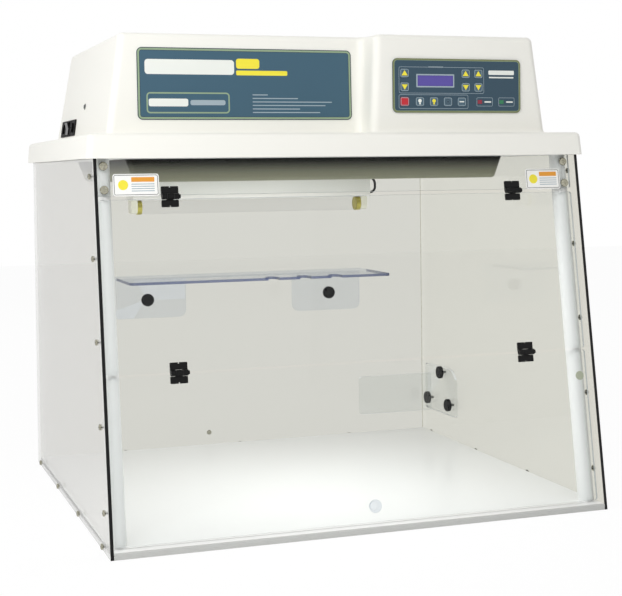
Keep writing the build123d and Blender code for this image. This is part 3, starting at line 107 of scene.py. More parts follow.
def empty_material(name: str) -> tuple[bpy.types.Material, Tree]:
    """A new material with an empty node tree.

    Args:
        name: the finish's name.

    Returns:
        The material and its tree.
    """
    material = bpy.data.materials.new(name)
    material.use_nodes = True
    material.node_tree.nodes.clear()
    return material, material.node_tree


class Axis(Enum):
    """An axis of the piece."""

    Y = "Y"
    Z = "Z"


def coordinate(tree: Tree, axis: Axis) -> Socket:
    """Where the surface lies along an axis of the piece.

    Args:
        tree: the material's tree.
        axis: which axis.

    Returns:
        The socket that carries the Object coordinate, in metres.
    """
    place = add_node(tree, "ShaderNodeTexCoord")
    parts = add_node(tree, "ShaderNodeSeparateXYZ", {"Vector": place.outputs["Object"]})
    return parts.outputs[axis.value]


class Ray(Enum):
    """A kind of ray, by its socket on the Light Path node."""

    CAMERA = "Is Camera Ray"
    GLOSSY = "Is Glossy Ray"
    TRANSMISSION = "Is Transmission Ray"


def seen_by(tree: Tree, *rays: Ray) -> Socket:
    """1 where one of these kinds of ray arrives, and 0 for any other.

    Args:
        tree: the material's or the world's tree.
        *rays: the kinds of ray.

    Returns:
        The socket that carries it.
    """
    path = add_node(tree, "ShaderNodeLightPath")
    first, *others = (path.outputs[ray.value] for ray in rays)
    for other in others:
        either = add_node(tree, "ShaderNodeMath", {0: first, 1: other}, operation="MAXIMUM")
        first = either.outputs[0]
    return first


class Pattern(Enum):
    """How a surface was made, which sets the fine pattern that it shows."""

    GRAIN = "grain"
    SPANGLE = "spangle"
    WEAVE = "weave"


@dataclass(frozen=True)
class Finish:
    """An opaque finish: a Principled surface with one fine pattern in it.

    The pattern gives a height for bump, and where tone is set it also mixes the colour. Where
    low_colour is set, the colour changes with height.
    """

    name: str
    colour: str
    roughness: float
    metallic: float = 0.0
    ior: float = 1.5
    specular: float = 0.5
    coat: float = 0.0
    pattern: Pattern = Pattern.GRAIN
    scale_mm: float = 1.0
    depth_mm: float = 0.02
    stretch: Triple = (1.0, 1.0, 1.0)
    tone: str = ""
    emission: float = 0.0
    low_colour: str = ""
    low_from_mm: float = 0.0
    low_to_mm: float = 0.0
    grain_detail: float = 3.0
    weave_wander: float = 0.4

    def graded(self, tree: Tree) -> Socket:
        """The colour where it changes with height: low_colour at low_from_mm, then colour.

        Args:
            tree: the material's tree.

        Returns:
            The socket that carries the colour.
        """
        share = add_node(
            tree,
            "ShaderNodeMapRange",
            {0: coordinate(tree, Axis.Z), 1: self.low_from_mm * MM, 2: self.low_to_mm * MM},
            interpolation_type="SMOOTHSTEP",
        )
        blend = add_node(
            tree,
            "ShaderNodeMix",
            {0: share.outputs[0], 6: linear(self.low_colour), 7: linear(self.colour)},
            data_type="RGBA",
        )
        return blend.outputs[2]

    def height(self, tree: Tree) -> Socket:
        """The pattern as a value from 0 to 1.

        Args:
            tree: the material's tree.

        Returns:
            The socket that carries the pattern.
        """
        place = add_node(tree, "ShaderNodeTexCoord")
        spread = add_node(
            tree,
            "ShaderNodeMapping",
            {"Scale": self.stretch, "Vector": place.outputs["Object"]},
        )
        inputs = {"Scale": 1 / (self.scale_mm * MM), "Vector": spread.outputs["Vector"]}
        if self.pattern is Pattern.SPANGLE:
            cells = add_node(tree, "ShaderNodeTexVoronoi", inputs)
            grey = add_node(tree, "ShaderNodeSeparateColor", {"Color": cells.outputs["Color"]})
            return grey.outputs["Red"]
        if self.pattern is Pattern.WEAVE:
            inputs["Distortion"] = self.weave_wander
            return add_node(tree, "ShaderNodeTexWave", inputs).outputs["Fac"]
        inputs["Detail"] = self.grain_detail
        return add_node(tree, "ShaderNodeTexNoise", inputs).outputs["Fac"]

    def material(self) -> bpy.types.Material:
        """Builds the finish.

        Returns:
            The material.
        """
        material, tree = empty_material(self.name)
        height = self.height(tree)
        bump = add_node(
            tree,
            "ShaderNodeBump",
            {"Strength": 1.0, "Distance": self.depth_mm * MM, "Height": height},
        )
        inputs = {
            "Base Color": linear(self.colour),
            "Roughness": self.roughness,
            "Metallic": self.metallic,
            "IOR": self.ior,
            "Specular IOR Level": self.specular,
            "Coat Weight": self.coat,
            "Normal": bump.outputs["Normal"],
        }
        if self.emission:
            inputs["Emission Color"] = linear(self.colour)
            inputs["Emission Strength"] = self.emission
        surface = add_node(tree, "ShaderNodeBsdfPrincipled", inputs)
        if self.tone:
            blend = add_node(
                tree,
                "ShaderNodeMix",
                {0: height, 6: linear(self.colour), 7: linear(self.tone)},
                data_type="RGBA",
            )
            tree.links.new(blend.outputs[2], surface.inputs["Base Color"])
        if self.low_colour:
            tree.links.new(self.graded(tree), surface.inputs["Base Color"])
        add_node(tree, "ShaderNodeOutputMaterial", {"Surface": surface.outputs["BSDF"]})
        return material


@dataclass(frozen=True)
class ClearSheet:
    """Clear plastic or glass: light goes straight through it, and its faces mirror softly.

    Each face mirrors by Schlick's law, which reads the same from inside and outside, and lets the
    rest through with a tint. The sawn and polished edges face away from every one of normals, and
    catch the light as a line in the edge's colour, only before edge_before_mm where that is set.
    Where front_edge is set, it covers what faces forwards before front_before_mm.
    """

    name: str
    tint: str
    normals: tuple[Triple, ...] = ()
    edge: str = ""
    edge_cover: float = 0.0
    edge_before_mm: float | None = None
    edge_roughness: float = 0.3
    edge_specular: float = 0.25
    ior: float = 1.49
    gloss: float = 0.35
    roughness: float = 0.02
    front_edge: str = ""
    front_before_mm: float = -200.0

    def mirror_share(self, tree: Tree) -> Socket:
        """Schlick's law, times gloss: f + (1 - f) * (1 - cos)^5, with f the share head-on.

        Args:
            tree: the material's tree.

        Returns:
            The socket that carries the share of light that is mirrored.
        """
        head_on = ((self.ior - 1) / (self.ior + 1)) ** 2
        slope, base = self.gloss * (1 - head_on), self.gloss * head_on
        facing = add_node(tree, "ShaderNodeLayerWeight", {"Blend": 0.5})
        power = add_node(
            tree, "ShaderNodeMath", {0: facing.outputs["Facing"], 1: 5.0}, operation="POWER"
        )
        share = add_node(
            tree,
            "ShaderNodeMath",
            {0: power.outputs[0], 1: slope, 2: base},
            operation="MULTIPLY_ADD",
        )
        return share.outputs[0]

    def facing_axis(self, tree: Tree, axis: Triple) -> Socket:
        """How squarely the surface faces along an axis of the piece, from -1 to 1.

        Args:
            tree: the material's tree.
            axis: direction in the piece's own space.

        Returns:
            The socket that carries it.
        """
        place = add_node(tree, "ShaderNodeTexCoord")
        dot = add_node(
            tree,
            "ShaderNodeVectorMath",
            {0: place.outputs["Normal"], 1: axis},
            operation="DOT_PRODUCT",
        )
        return dot.outputs["Value"]

    def only_before(self, tree: Tree, cover: Socket, y_mm: float) -> Socket:
        """A cover where the surface lies in front of a depth, and 0 behind it.

        Args:
            tree: the material's tree.
            cover: how much a colour covers, from 0 to 1.
            y_mm: the depth, in millimetres along Y.

        Returns:
            The socket that carries it.
        """
        y = coordinate(tree, Axis.Y)
        before = add_node(tree, "ShaderNodeMath", {0: y, 1: y_mm * MM}, operation="LESS_THAN")
        kept = add_node(
            tree, "ShaderNodeMath", {0: before.outputs[0], 1: cover}, operation="MULTIPLY"
        )
        return kept.outputs[0]

    def edge_share(self, tree: Tree) -> Socket:
        """How much of the surface the edge colour covers: edge_cover on edges, 0 elsewhere.

        Args:
            tree: the material's tree.

        Returns:
            The socket that carries it.
        """
        cover: Socket | float = self.edge_cover
        for axis in self.normals:
            along = add_node(
                tree, "ShaderNodeMath", {0: self.facing_axis(tree, axis)}, operation="ABSOLUTE"
            )
            away = add_node(
                tree, "ShaderNodeMath", {0: along.outputs[0], 1: SQUARE_ON}, operation="LESS_THAN"
            )
            edge = add_node(
                tree, "ShaderNodeMath", {0: away.outputs[0], 1: cover}, operation="MULTIPLY"
            )
            cover = edge.outputs[0]
        if self.edge_before_mm is not None:
            cover = self.only_before(tree, cover, self.edge_before_mm)
        return cover

    def front_share(self, tree: Tree) -> Socket:
        """How much of the surface the front edge's colour covers: 1 there, 0 elsewhere.

        Args:
            tree: the material's tree.

        Returns:
            The socket that carries it.
        """
        ahead = add_node(
            tree,
            "ShaderNodeMath",
            {0: self.facing_axis(tree, (0.0, -1.0, 0.0)), 1: SQUARE_ON},
            operation="GREATER_THAN",
        )
        return self.only_before(tree, ahead.outputs[0], self.front_before_mm)

    def covered(self, tree: Tree, inner: Socket, cover: Socket, colour: str) -> Socket:
        """Covers part of the surface with a colour.

        Args:
            tree: the material's tree.
            inner: the shader of the rest of the surface.
            cover: how much the colour covers, from 0 to 1.
            colour: the colour.

        Returns:
            The shader's output socket.
        """
        edge = add_node(
            tree,
            "ShaderNodeBsdfPrincipled",
            {
                "Base Color": linear(colour),
                "Roughness": self.edge_roughness,
                "IOR": self.ior,
                "Specular IOR Level": self.edge_specular,
            },
        )
        mixed = add_node(
            tree, "ShaderNodeMixShader", {0: cover, 1: inner, 2: edge.outputs["BSDF"]}
        )
        return mixed.outputs["Shader"]

    def material(self) -> bpy.types.Material:
        """Builds the finish.

        Returns:
            The material.
        """
        material, tree = empty_material(self.name)
        through = add_node(tree, "ShaderNodeBsdfTransparent", {"Color": linear(self.tint)})
        mirror = add_node(tree, "ShaderNodeBsdfGlossy", {"Roughness": self.roughness})
        face = add_node(
            tree,
            "ShaderNodeMixShader",
            {0: self.mirror_share(tree), 1: through.outputs["BSDF"], 2: mirror.outputs["BSDF"]},
        )
        surface = face.outputs["Shader"]
        if self.normals:
            surface = self.covered(tree, surface, self.edge_share(tree), self.edge)
        if self.front_edge:
            surface = self.covered(tree, surface, self.front_share(tree), self.front_edge)
        add_node(tree, "ShaderNodeOutputMaterial", {"Surface": surface})
        return material


def ink(name: str, colour: str, roughness: float = 0.5) -> Finish:
    """A screen-printed ink: a flat matt colour."""
    return Finish(name, colour, roughness, scale_mm=0.5, depth_mm=0.002)


def lens(name: str, colour: str) -> Finish:
    """A tinted lens of clear plastic: smooth and glossy."""
    return Finish(name, colour, 0.2, scale_mm=2, depth_mm=0.002)


class Paint:
    """The finishes of the workstation, each built once and shared."""

    front_normal = (0.0, -cos(radians(FRONT_LEAN)), sin(radians(FRONT_LEAN)))

    # Vacuum-formed ABS: warm white, low gloss, with the faint grain of the mould
    head = Finish("vacuum_formed_abs", "#F1F0E9", 0.42, scale_mm=2.5, depth_mm=0.012)
    # High-pressure laminate: clean white with a satin sheen
    worktop = Finish("white_laminate", "#F8F8F7", 0.22, scale_mm=1.2, depth_mm=0.004)
    # Edge band of the worktop: extruded PVC, a little greyer
    sill = Finish("extruded_pvc_edge", "#BCBDBA", 0.3, scale_mm=3, depth_mm=0.005,
                  stretch=(0.1, 1, 1))
    # Extruded PVC bar: cool white and satin
    post = Finish("extruded_pvc_bar", "#E9E9E7", 0.4, scale_mm=3, depth_mm=0.006,
                  stretch=(1, 1, 0.1))
    # Natural rubber: matt, grey-green
    bumper = Finish("moulded_rubber", "#B8BBA5", 0.75, scale_mm=1, depth_mm=0.03)
    # Injection-moulded nylon: black with soft highlights
    nylon = Finish("black_nylon", "#090909", 0.4, specular=0.2, scale_mm=0.8, depth_mm=0.01)
    # Drawn steel wire: bright, with fine lines along it
    pin = Finish("drawn_steel", "#B9BABB", 0.28, metallic=1.0, scale_mm=0.8, depth_mm=0.006,
                 stretch=(0.05, 1, 1))
    # Polyester label film: white and slightly glossy
    label = Finish("polyester_film_white", "#F4F4F1", 0.3, scale_mm=4, depth_mm=0.004)
    # Zinc-plated and passivated steel: pale, with dull olive blotches
    zinc = Finish("yellow_zinc_plate", "#D9D6C4", 0.24, metallic=1.0, scale_mm=1.6,
                  depth_mm=0.03, tone="#4F4D3A")
    # Small screw in the head's left wall: dull nickel on steel
    nickel = Finish("nickel_plate", "#6C706F", 0.4, metallic=0.6, scale_mm=0.8, depth_mm=0.008)
    # Phenolic of the mains rocker: deep black and glossy
    phenolic = Finish("black_phenolic", "#0A0A0B", 0.3, specular=0.3, scale_mm=1.5,
                      depth_mm=0.006)
    # Moulded polyamide of the mains entry and the thumb screws: black and nearly matt
    mains = Finish("black_polyamide", "#0C0C0D", 0.6, specular=0.1, scale_mm=0.8,
                   depth_mm=0.012)
    # Hinge pins: steel blackened in hot oxide, with a thin film of oil
    oxide = Finish("black_oxide_steel", "#121212", 0.42, metallic=0.5, specular=0.3,
                   scale_mm=0.8, depth_mm=0.006, stretch=(0.05, 1, 1))
    # Black enamel on sheet steel, with painted reflection and shade: olive grey at its folded
    # foot, a painted reflection of the bright floor, fading to black in the head's shade above
    tray = Finish("black_enamel_steel_painted_reflection", "#080806", 0.35, specular=0.15, scale_mm=3,
                  depth_mm=0.01, low_colour="#8E8E78", low_from_mm=530, low_to_mm=560)
    # Extruded aluminium, unfinished
    filter_frame = Finish("mill_aluminium", "#C6C8C9", 0.4, metallic=1.0, scale_mm=1.5,
                          depth_mm=0.01, stretch=(0.05, 1, 1))
    # Pleated glass-fibre paper: soft, dull white
    paper = Finish("glass_fibre_paper", "#E8E6DC", 0.9, scale_mm=1.0, depth_mm=0.08)
    # Hot-dip galvanised sheet: flat crystals about 8 mm wide in two greys
    galvanised = Finish("galvanised_sheet", "#B6B9BA", 0.36, metallic=1.0,
                        pattern=Pattern.SPANGLE, scale_mm=8, depth_mm=0.004, tone="#9EA2A4")
    # Stoved enamel on a motor can: dark grey, satin
    motor = Finish("stoved_enamel_grey", "#3A3B3D", 0.4, scale_mm=1.5, depth_mm=0.01)
    # Powder coat on the ballast and lamp housing: white, semi-gloss, faint orange peel
    powder = Finish("white_powder_coat", "#EDEDE8", 0.28, coat=0.2, scale_mm=1.8,
                    depth_mm=0.012)
    # Polycarbonate lampholder: milky white
    lampholder = Finish("milky_polycarbonate", "#E9E7D6", 0.25, scale_mm=2, depth_mm=0.006)
    # Drawn aluminium cap of the tube, passivated to a dull yellow
    cap = Finish("yellow_passivated_aluminium", "#C2B75A", 0.36, metallic=0.7, scale_mm=0.8,
                 depth_mm=0.006, stretch=(1, 0.1, 0.1))
    # Soft PVC cable sheath: black with a soft shine
    cable = Finish("pvc_sheath", "#0B0B0B", 0.42, scale_mm=0.8, depth_mm=0.012)
    # Open-cell polyester pad: dark and fibrous
    foam = Finish("polyester_pad", "#4A4C4C", 0.95, scale_mm=1.6, depth_mm=0.5,
                  tone="#2A2B2B")
    # Reverse-printed polyester film: slate blue under a satin lacquer
    film = Finish("printed_film_blue", "#3F5E70", 0.34, specular=0.3, scale_mm=0.9,
                  depth_mm=0.006)
    # The panel's film is the same, printed a deeper slate
    panel_film = Finish("printed_film_slate", "#364D5C", 0.34, specular=0.3, scale_mm=0.9,
                        depth_mm=0.006)
    # Silicone key caps, printed like the film
    key = Finish("printed_key_blue", "#46606F", 0.45, scale_mm=0.7, depth_mm=0.008)
    key_red = Finish("printed_key_red", "#BE1F2C", 0.4, scale_mm=0.7, depth_mm=0.008)
    # Solder-masked circuit board: glossy green, with the weave of the glass under it, which is
    # drawn coarser than it is so that it shows
    board = Finish("green_solder_mask", "#1E5A2E", 0.3, coat=0.3, pattern=Pattern.WEAVE,
                   scale_mm=6, depth_mm=0.02)
    # Backlit liquid-crystal window behind clear acrylic: violet blue, softly lit
    display = Finish("liquid_crystal_window", "#4A3F8E", 0.12, scale_mm=3, depth_mm=0.002,
                     emission=0.25)
    # Light pipes of clear plastic and the coloured windows over them
    lamp_lens = lens("tinted_light_pipe", "#A8202A")
    lens_red = lens("red_lens", "#8E2238")
    lens_green = lens("green_lens", "#2A7A52")

    # Screen-printed inks
    ink_pale = ink("pale_ink", "#E9ECE6")
    ink_line = ink("grey_green_ink", "#8FA486")
    ink_olive = ink("olive_ink", "#747B52")
    ink_grey = ink("grey_ink", "#9DADB6")
    ink_yellow = ink("yellow_ink", "#F0E23E")
    ink_orange = ink("orange_ink", "#E39A34")
    ink_dark = ink("dark_blue_ink", "#1D2E3C", 0.45)
    ink_black = ink("black_ink", "#2A2A2A")

    # Cast acrylic with polished edges: nearly invisible faces, and pale, grey or black edges
    door_sheet = ClearSheet("cast_acrylic_door", "#FDFEFE", (front_normal,), "#B4B8B8", 0.8)
    side_sheet = ClearSheet("cast_acrylic_side", "#EFEEE9", ((1.0, 0.0, 0.0),), "#F2F4F3", 0.3,
                            edge_before_mm=300.0, gloss=1.0, front_edge="#060607")
    # The left wall is the same acrylic as the right one; its paler tint is painted light,
    # standing for the bright reflections that it shows at a grazing angle
    left_sheet_painted_light = ClearSheet("cast_acrylic_left_painted_light", "#FEFEFD", ((1.0, 0.0, 0.0),), "#F2F4F3", 0.3,
                            gloss=1.0, front_edge="#060607")
    back_sheet = ClearSheet("cast_acrylic_back", "#EBEAE6")
    # The shelf's edges show dark blue, as far back as its tabs
    shelf_sheet = ClearSheet("cast_acrylic_shelf", "#F5F7FA", ((0.0, 0.0, 1.0),), "#4C5474",
                             0.8, edge_before_mm=300.0)
    holder_sheet = ClearSheet("cast_acrylic_holder", "#FAFBFB",
                              ((1.0, 0.0, 0.0), (0.0, 1.0, 0.0)), "#F4F6F6", 0.7, gloss=1.0)
    knob_clear = ClearSheet("turned_acrylic_knob", "#F3F5F8", gloss=0.8, roughness=0.04)
    # Quartz glass of the tube: clear, with weak reflections
    tube_glass = ClearSheet("quartz_glass", "#FDFDFD", ior=1.46, gloss=0.2)

    _built: dict[str, bpy.types.Material] = {}

    @classmethod
    def get(cls, finish: Finish | ClearSheet) -> bpy.types.Material:
        """The material of a finish, built the first time that it is asked for."""
        if finish.name not in cls._built:
            cls._built[finish.name] = finish.material()
        return cls._built[finish.name]


def dress(finish: Finish | ClearSheet, *nodes: str) -> None:
    """Gives CAD nodes a finish.

    Args:
        finish: the finish that they get.
        *nodes: the nodes' names.
    """
    for node in nodes:
        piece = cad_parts[node]
        for place in piece.material_slots:
            place.material = Paint.get(finish)
        log.info("%s: %s", node, finish.name)


# Places and surfaces


@dataclass(frozen=True)
class Place:
    """A flat place on the object: an origin in metres and two directions in its face."""

    origin: np.ndarray
    across: np.ndarray
    up: np.ndarray

    @property
    def out(self) -> np.ndarray:
        """Direction out of the face."""
        return np.cross(self.across, self.up)

    def at(self, points: np.ndarray) -> np.ndarray:
        """Turns millimetres in the face (across, up, out) to metres in the frame.

        Args:
            points: one row for each point.

        Returns:
            The points in the frame.
        """
        axes = np.stack((self.across, self.up, self.out))
        return self.origin + (points * MM) @ axes

    def moved(self, across: float, up: float) -> "Place":
        """The same face with its origin moved, in millimetres."""
        shift = np.array([[across, up, 0.0]])
        return Place(self.at(shift)[0], self.across, self.up)


def front_place(node: str, lean_degrees: float, thickness: float) -> Place:
    """The middle of the front face of a thin upright node.

    Args:
        node: the CAD node's name.
        lean_degrees: how far the face leans back.
        thickness: the node's thickness in millimetres.

    Returns:
        The place, with its across to the right and its up along the face.
    """
    low, high = (np.array(corner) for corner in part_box(node))
    lean = radians(lean_degrees)
    out = np.array([0.0, -cos(lean), sin(lean)])
    middle = (low + high) / 2 + out * thickness / 2 * MM
    return Place(middle, np.array([1.0, 0.0, 0.0]), np.array([0.0, sin(lean), cos(lean)]))


def rounded_outline(width: float, height: float, radius: float) -> np.ndarray:
    """Outline of a rectangle with round corners, anticlockwise.

    Each corner is a quarter circle: centre + radius * (cos a, sin a).

    Args:
        width: full width in millimetres.
        height: full height in millimetres.
        radius: corner radius in millimetres.

    Returns:
        One row (x, y) for each point.
    """
    turn = np.linspace(0, pi / 2, CORNER_STEPS + 1)
    starts = np.arange(4)[:, None] * pi / 2
    angle = (starts + turn).ravel()
    signs = np.repeat(np.array([(1, 1), (-1, 1), (-1, -1), (1, -1)]), CORNER_STEPS + 1, axis=0)
    centre = signs * (np.array([width, height]) / 2 - radius)
    return centre + radius * np.stack((np.cos(angle), np.sin(angle)), axis=1)


def circle_outline(radius: float, steps: int = 32) -> np.ndarray:
    """Outline of a circle, anticlockwise: radius * (cos a, sin a)."""
    angle = np.linspace(0, 2 * pi, steps, endpoint=False)
    return radius * np.stack((np.cos(angle), np.sin(angle)), axis=1)


def patch(outline: np.ndarray, thickness: float = INK, lift: float = 0.0) -> Sheet:
    """A flat patch: an outline carried from lift to lift + thickness, closed at both ends.

    Args:
        outline: one row (x, y) for each point, anticlockwise.
        thickness: in millimetres.
        lift: height of its underside over the face.

    Returns:
        Points in millimetres (across, up, out), and faces.
    """
    count = len(outline)
    low = np.column_stack((outline, np.full(count, lift)))
    high = np.column_stack((outline, np.full(count, lift + thickness)))
    ring = np.arange(count)
    after = np.roll(ring, -1)
    sides = np.stack((ring, after, after + count, ring + count), axis=1)
    faces = [tuple(side) for side in sides.tolist()]
    faces.append(tuple(ring[::-1].tolist()))
    faces.append(tuple((ring + count).tolist()))
    return np.vstack((low, high)), faces


def band(outer: np.ndarray, inner: np.ndarray) -> Sheet:
    """A closed printed band between two outlines of the same number of points.

    It is a rectangle carried round: outer below, outer above, inner above, inner below.

    Args:
        outer: outer outline, one row (x, y) for each point, anticlockwise.
        inner: inner outline, in the same order.

    Returns:
        Points in millimetres (across, up, out), and faces.
    """
    count = len(outer)
    loops = [(outer, 0.0), (outer, INK), (inner, INK), (inner, 0.0)]
    points = np.vstack([np.column_stack((line, np.full(count, z))) for line, z in loops])
    ring = np.arange(count)
    after = np.roll(ring, -1)
    faces = []
    for row in range(len(loops)):
        here, there = row * count, (row + 1) % len(loops) * count
        quads = np.stack((ring + here, after + here, after + there, ring + there), axis=1)
        faces.extend(tuple(quad) for quad in quads.tolist())
    return points, faces


def shifted(sheet: Sheet, across: float, up: float) -> Sheet:
    """A surface moved in its face, in millimetres."""
    points, faces = sheet
    return points + np.array([across, up, 0.0]), faces


def joined(*sheets: Sheet) -> Sheet:
    """Several surfaces as one."""
    points, faces, start = [], [], 0
    for part_points, part_faces in sheets:
        points.append(part_points)
        faces.extend(tuple(i + start for i in face) for face in part_faces)
        start += len(part_points)
    return np.vstack(points), faces


@dataclass(frozen=True)
class Block:
    """A printed block with round corners, in millimetres from the middle of its face.

    Where line is set, only a line of that width is printed, inside the block's outline.
    """

    x: float
    y: float
    width: float
    height: float
    radius: float
    line: float = 0.0

    def sheet(self) -> Sheet:
        """The block's surface.

        Returns:
            Points in millimetres (across, up, out), and faces.
        """
        outer = rounded_outline(self.width, self.height, self.radius)
        if not self.line:
            return shifted(patch(outer), self.x, self.y)
        inner = rounded_outline(
            self.width - 2 * self.line,
            self.height - 2 * self.line,
            max(self.radius - self.line, SHARPEST),
        )
        return shifted(band(outer, inner), self.x, self.y)

    def inset(self, by: float, radius: float, line: float) -> "Block":
        """A line inside the block, with its outer side that far from the block's edge."""
        return Block(self.x, self.y, self.width - 2 * by, self.height - 2 * by, radius, line)


def add_piece(
    name: str, sheet: Sheet, place: Place, finish: Finish | ClearSheet, body: str
) -> None:
    """Makes a surface into a piece that rides on a body.

    Args:
        name: the piece's name.
        sheet: points in millimetres and faces.
        place: where the piece is.
        finish: what it is made of.
        body: the CAD body that it moves with.
    """
    points, faces = sheet
    mesh = bpy.data.meshes.new(name)
    mesh.from_pydata(place.at(points).tolist(), [], faces)
    mesh.update()
    mesh.materials.append(Paint.get(finish))
    piece = bpy.data.objects.new(name, mesh)
    bpy.context.scene.collection.objects.link(piece)
    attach(piece, body)
    log.info("%s: %s on %s", name, finish.name, body)


def add_print(name: str, finish: Finish, place: Place, slot: str, *blocks: Block) -> None:
    """Prints blocks on a face of the cabinet, as one piece.

    Args:
        name: the piece's name.
        finish: what it is printed in.
        place: the face.
        slot: not used.
        *blocks: what is printed.
    """
    add_piece(name, joined(*(block.sheet() for block in blocks)), place, finish, CABINET)


# Sub-assemblies


@dataclass(frozen=True)
class Enclosure:
    """Worktop, clear walls, front posts and ceiling."""

    def build(self) -> None:
        """Dresses the enclosure."""
        dress(Paint.worktop, "base_panel")
        dress(Paint.sill, "front_sill")
        dress(Paint.left_sheet_painted_light, "left_side_panel")
        dress(Paint.side_sheet, "right_side_panel")
        dress(Paint.back_sheet, "back_panel")
        dress(Paint.post, "front_posts", "ceiling_plate")
        dress(Paint.bumper, "door_bumper")
        dress(Paint.door_sheet, "transom_panel")
        dress(Paint.zinc, "panel_screws")


@dataclass(frozen=True)
class Doors:
    """The two clear doors with their hinges and knob."""

    def build(self) -> None:
        """Dresses the doors."""
        dress(Paint.door_sheet, "upper_door", "lower_door")
        dress(Paint.nylon, "top_hinge_plates", "upper_top_leaves")
        dress(Paint.nylon, "upper_middle_leaves", "lower_middle_leaves")
        dress(Paint.oxide, "top_hinge_pins", "middle_hinge_pins")
        dress(Paint.knob_clear, "door_knob")


@dataclass(frozen=True)
class TransomLabels:
    """Two white labels on the transom, with a thin border and plain blocks of colour.

    Widths and places across are shares of a label's width, from its middle.
    """

    thickness: float = 0.4
    height: float = 33.0
    left_x: float = -331.5
    left_width: float = 69.0
    right_x: float = 340.0
    right_width: float = 62.0
    inset: float = 1.6
    border: float = 0.8
    border_radius: float = 2.6
    print_x: float = 0.15
    print_width: float = 0.5
    block_y: float = 8.0
    block_height: float = 7.0
    block_radius: float = 0.6
    rules_y: tuple[float, ...] = (1.2, -2.2, -5.6, -9.0)
    rule_height: float = 1.2
    rule_radius: float = 0.3
    disc_x: float = -0.28
    disc_radius: float = 7.5

    def build(self) -> None:
        """Dresses the labels and prints on them."""
        dress(Paint.label, "transom_labels")
        middle = front_place("transom_labels", FRONT_LEAN, self.thickness)
        low, high = (np.array(corner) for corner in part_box("transom_labels"))
        centre = (low[0] + high[0]) / 2 / MM
        self.add_label("left", middle.moved(self.left_x - centre, 0.0), self.left_width)
        self.add_label("right", middle.moved(self.right_x - centre, 0.0), self.right_width)

    def add_label(self, side: str, place: Place, width: float) -> None:
        """Prints a label's border, block, rules and disc.

        Args:
            side: left or right.
            place: the label's face.
            width: the label's width.
        """
        x, wide = width * self.print_x, width * self.print_width
        label = Block(0.0, 0.0, width, self.height, 0.0)
        border = label.inset(self.inset, self.border_radius, self.border)
        block = Block(x, self.block_y, wide, self.block_height, self.block_radius)
        rules = [Block(x, y, wide, self.rule_height, self.rule_radius) for y in self.rules_y]
        disc = shifted(patch(circle_outline(self.disc_radius)), width * self.disc_x, 0.0)
        add_print(f"{side}_label_border", Paint.ink_black, place, "label", border)
        add_print(f"{side}_label_block", Paint.ink_orange, place, "label", block)
        add_print(f"{side}_label_rules", Paint.ink_grey, place, "label", *rules)
        add_piece(f"{side}_label_disc", disc, place, Paint.ink_yellow, CABINET)


@dataclass(frozen=True)
class Head:
    """The moulded head with its intake grille."""

    def build(self) -> None:
        """Dresses the head."""
        dress(Paint.head, "head_cover", "intake_grille")
        dress(Paint.foam, "prefilter_pad")


@dataclass(frozen=True)
class Nameplate:
    """Blue plate on the left of the head, with plain printed lines and bars."""

    lean: float = 1.828
    thickness: float = 1.0
    plate: Block = Block(0.0, 0.0, 349, 111, 8)
    edge: float = 1.2
    line: float = 2.8
    inner_radius: float = 4.0
    inner_edge: float = 0.7
    box: Block = Block(-94.5, -29.5, 132, 32.5, 6, 2.2)
    bars: tuple[Block, ...] = (Block(-91.4, 25.9, 142, 23, 5), Block(-126, -29.0, 62, 12, 3))
    accents: tuple[Block, ...] = (Block(1.9, 32.0, 38, 15.5, 4), Block(24.8, 17.6, 84, 7.5, 2))
    box_bar: Block = Block(-63.5, -29.0, 56, 8, 3)
    rules: tuple[float, ...] = (25, 75, 132, 121, 78, 112)
    rules_x: float = 8.7
    rules_y: float = -16.5
    rules_pitch: float = 5.5
    rule_height: float = 1.5
    rule_radius: float = 0.5

    def build(self) -> None:
        """Dresses the plate and prints its lines and bars."""
        dress(Paint.film, "nameplate")
        place = front_place("nameplate", self.lean, self.thickness)
        edges = (
            self.plate.inset(0.0, self.plate.radius, self.edge),
            self.plate.inset(self.edge + self.line, self.inner_radius, self.inner_edge),
        )
        line = self.plate.inset(self.edge, self.plate.radius - self.edge, self.line)
        rules = [
            Block(
                self.rules_x + length / 2,
                self.rules_y - self.rules_pitch * row,
                length,
                self.rule_height,
                self.rule_radius,
            )
            for row, length in enumerate(self.rules)
        ]
        for name, finish, blocks in (
            ("edge", Paint.ink_dark, edges),
            ("line", Paint.ink_line, (line,)),
            ("box", Paint.ink_line, (self.box,)),
            ("bars", Paint.ink_pale, self.bars),
            ("accent", Paint.ink_yellow, self.accents),
            ("rules", Paint.ink_grey, (*rules, self.box_bar)),
        ):
            add_print(f"nameplate_{name}", finish, place, "blue_film", *blocks)


class Mark(Enum):
    """What is printed on a key."""

    UP = "up"
    DOWN = "down"
    PLAIN = "plain"
    LAMP = "lamp"
    BULB = "bulb"
    FAN = "fan"
    BAR = "bar"


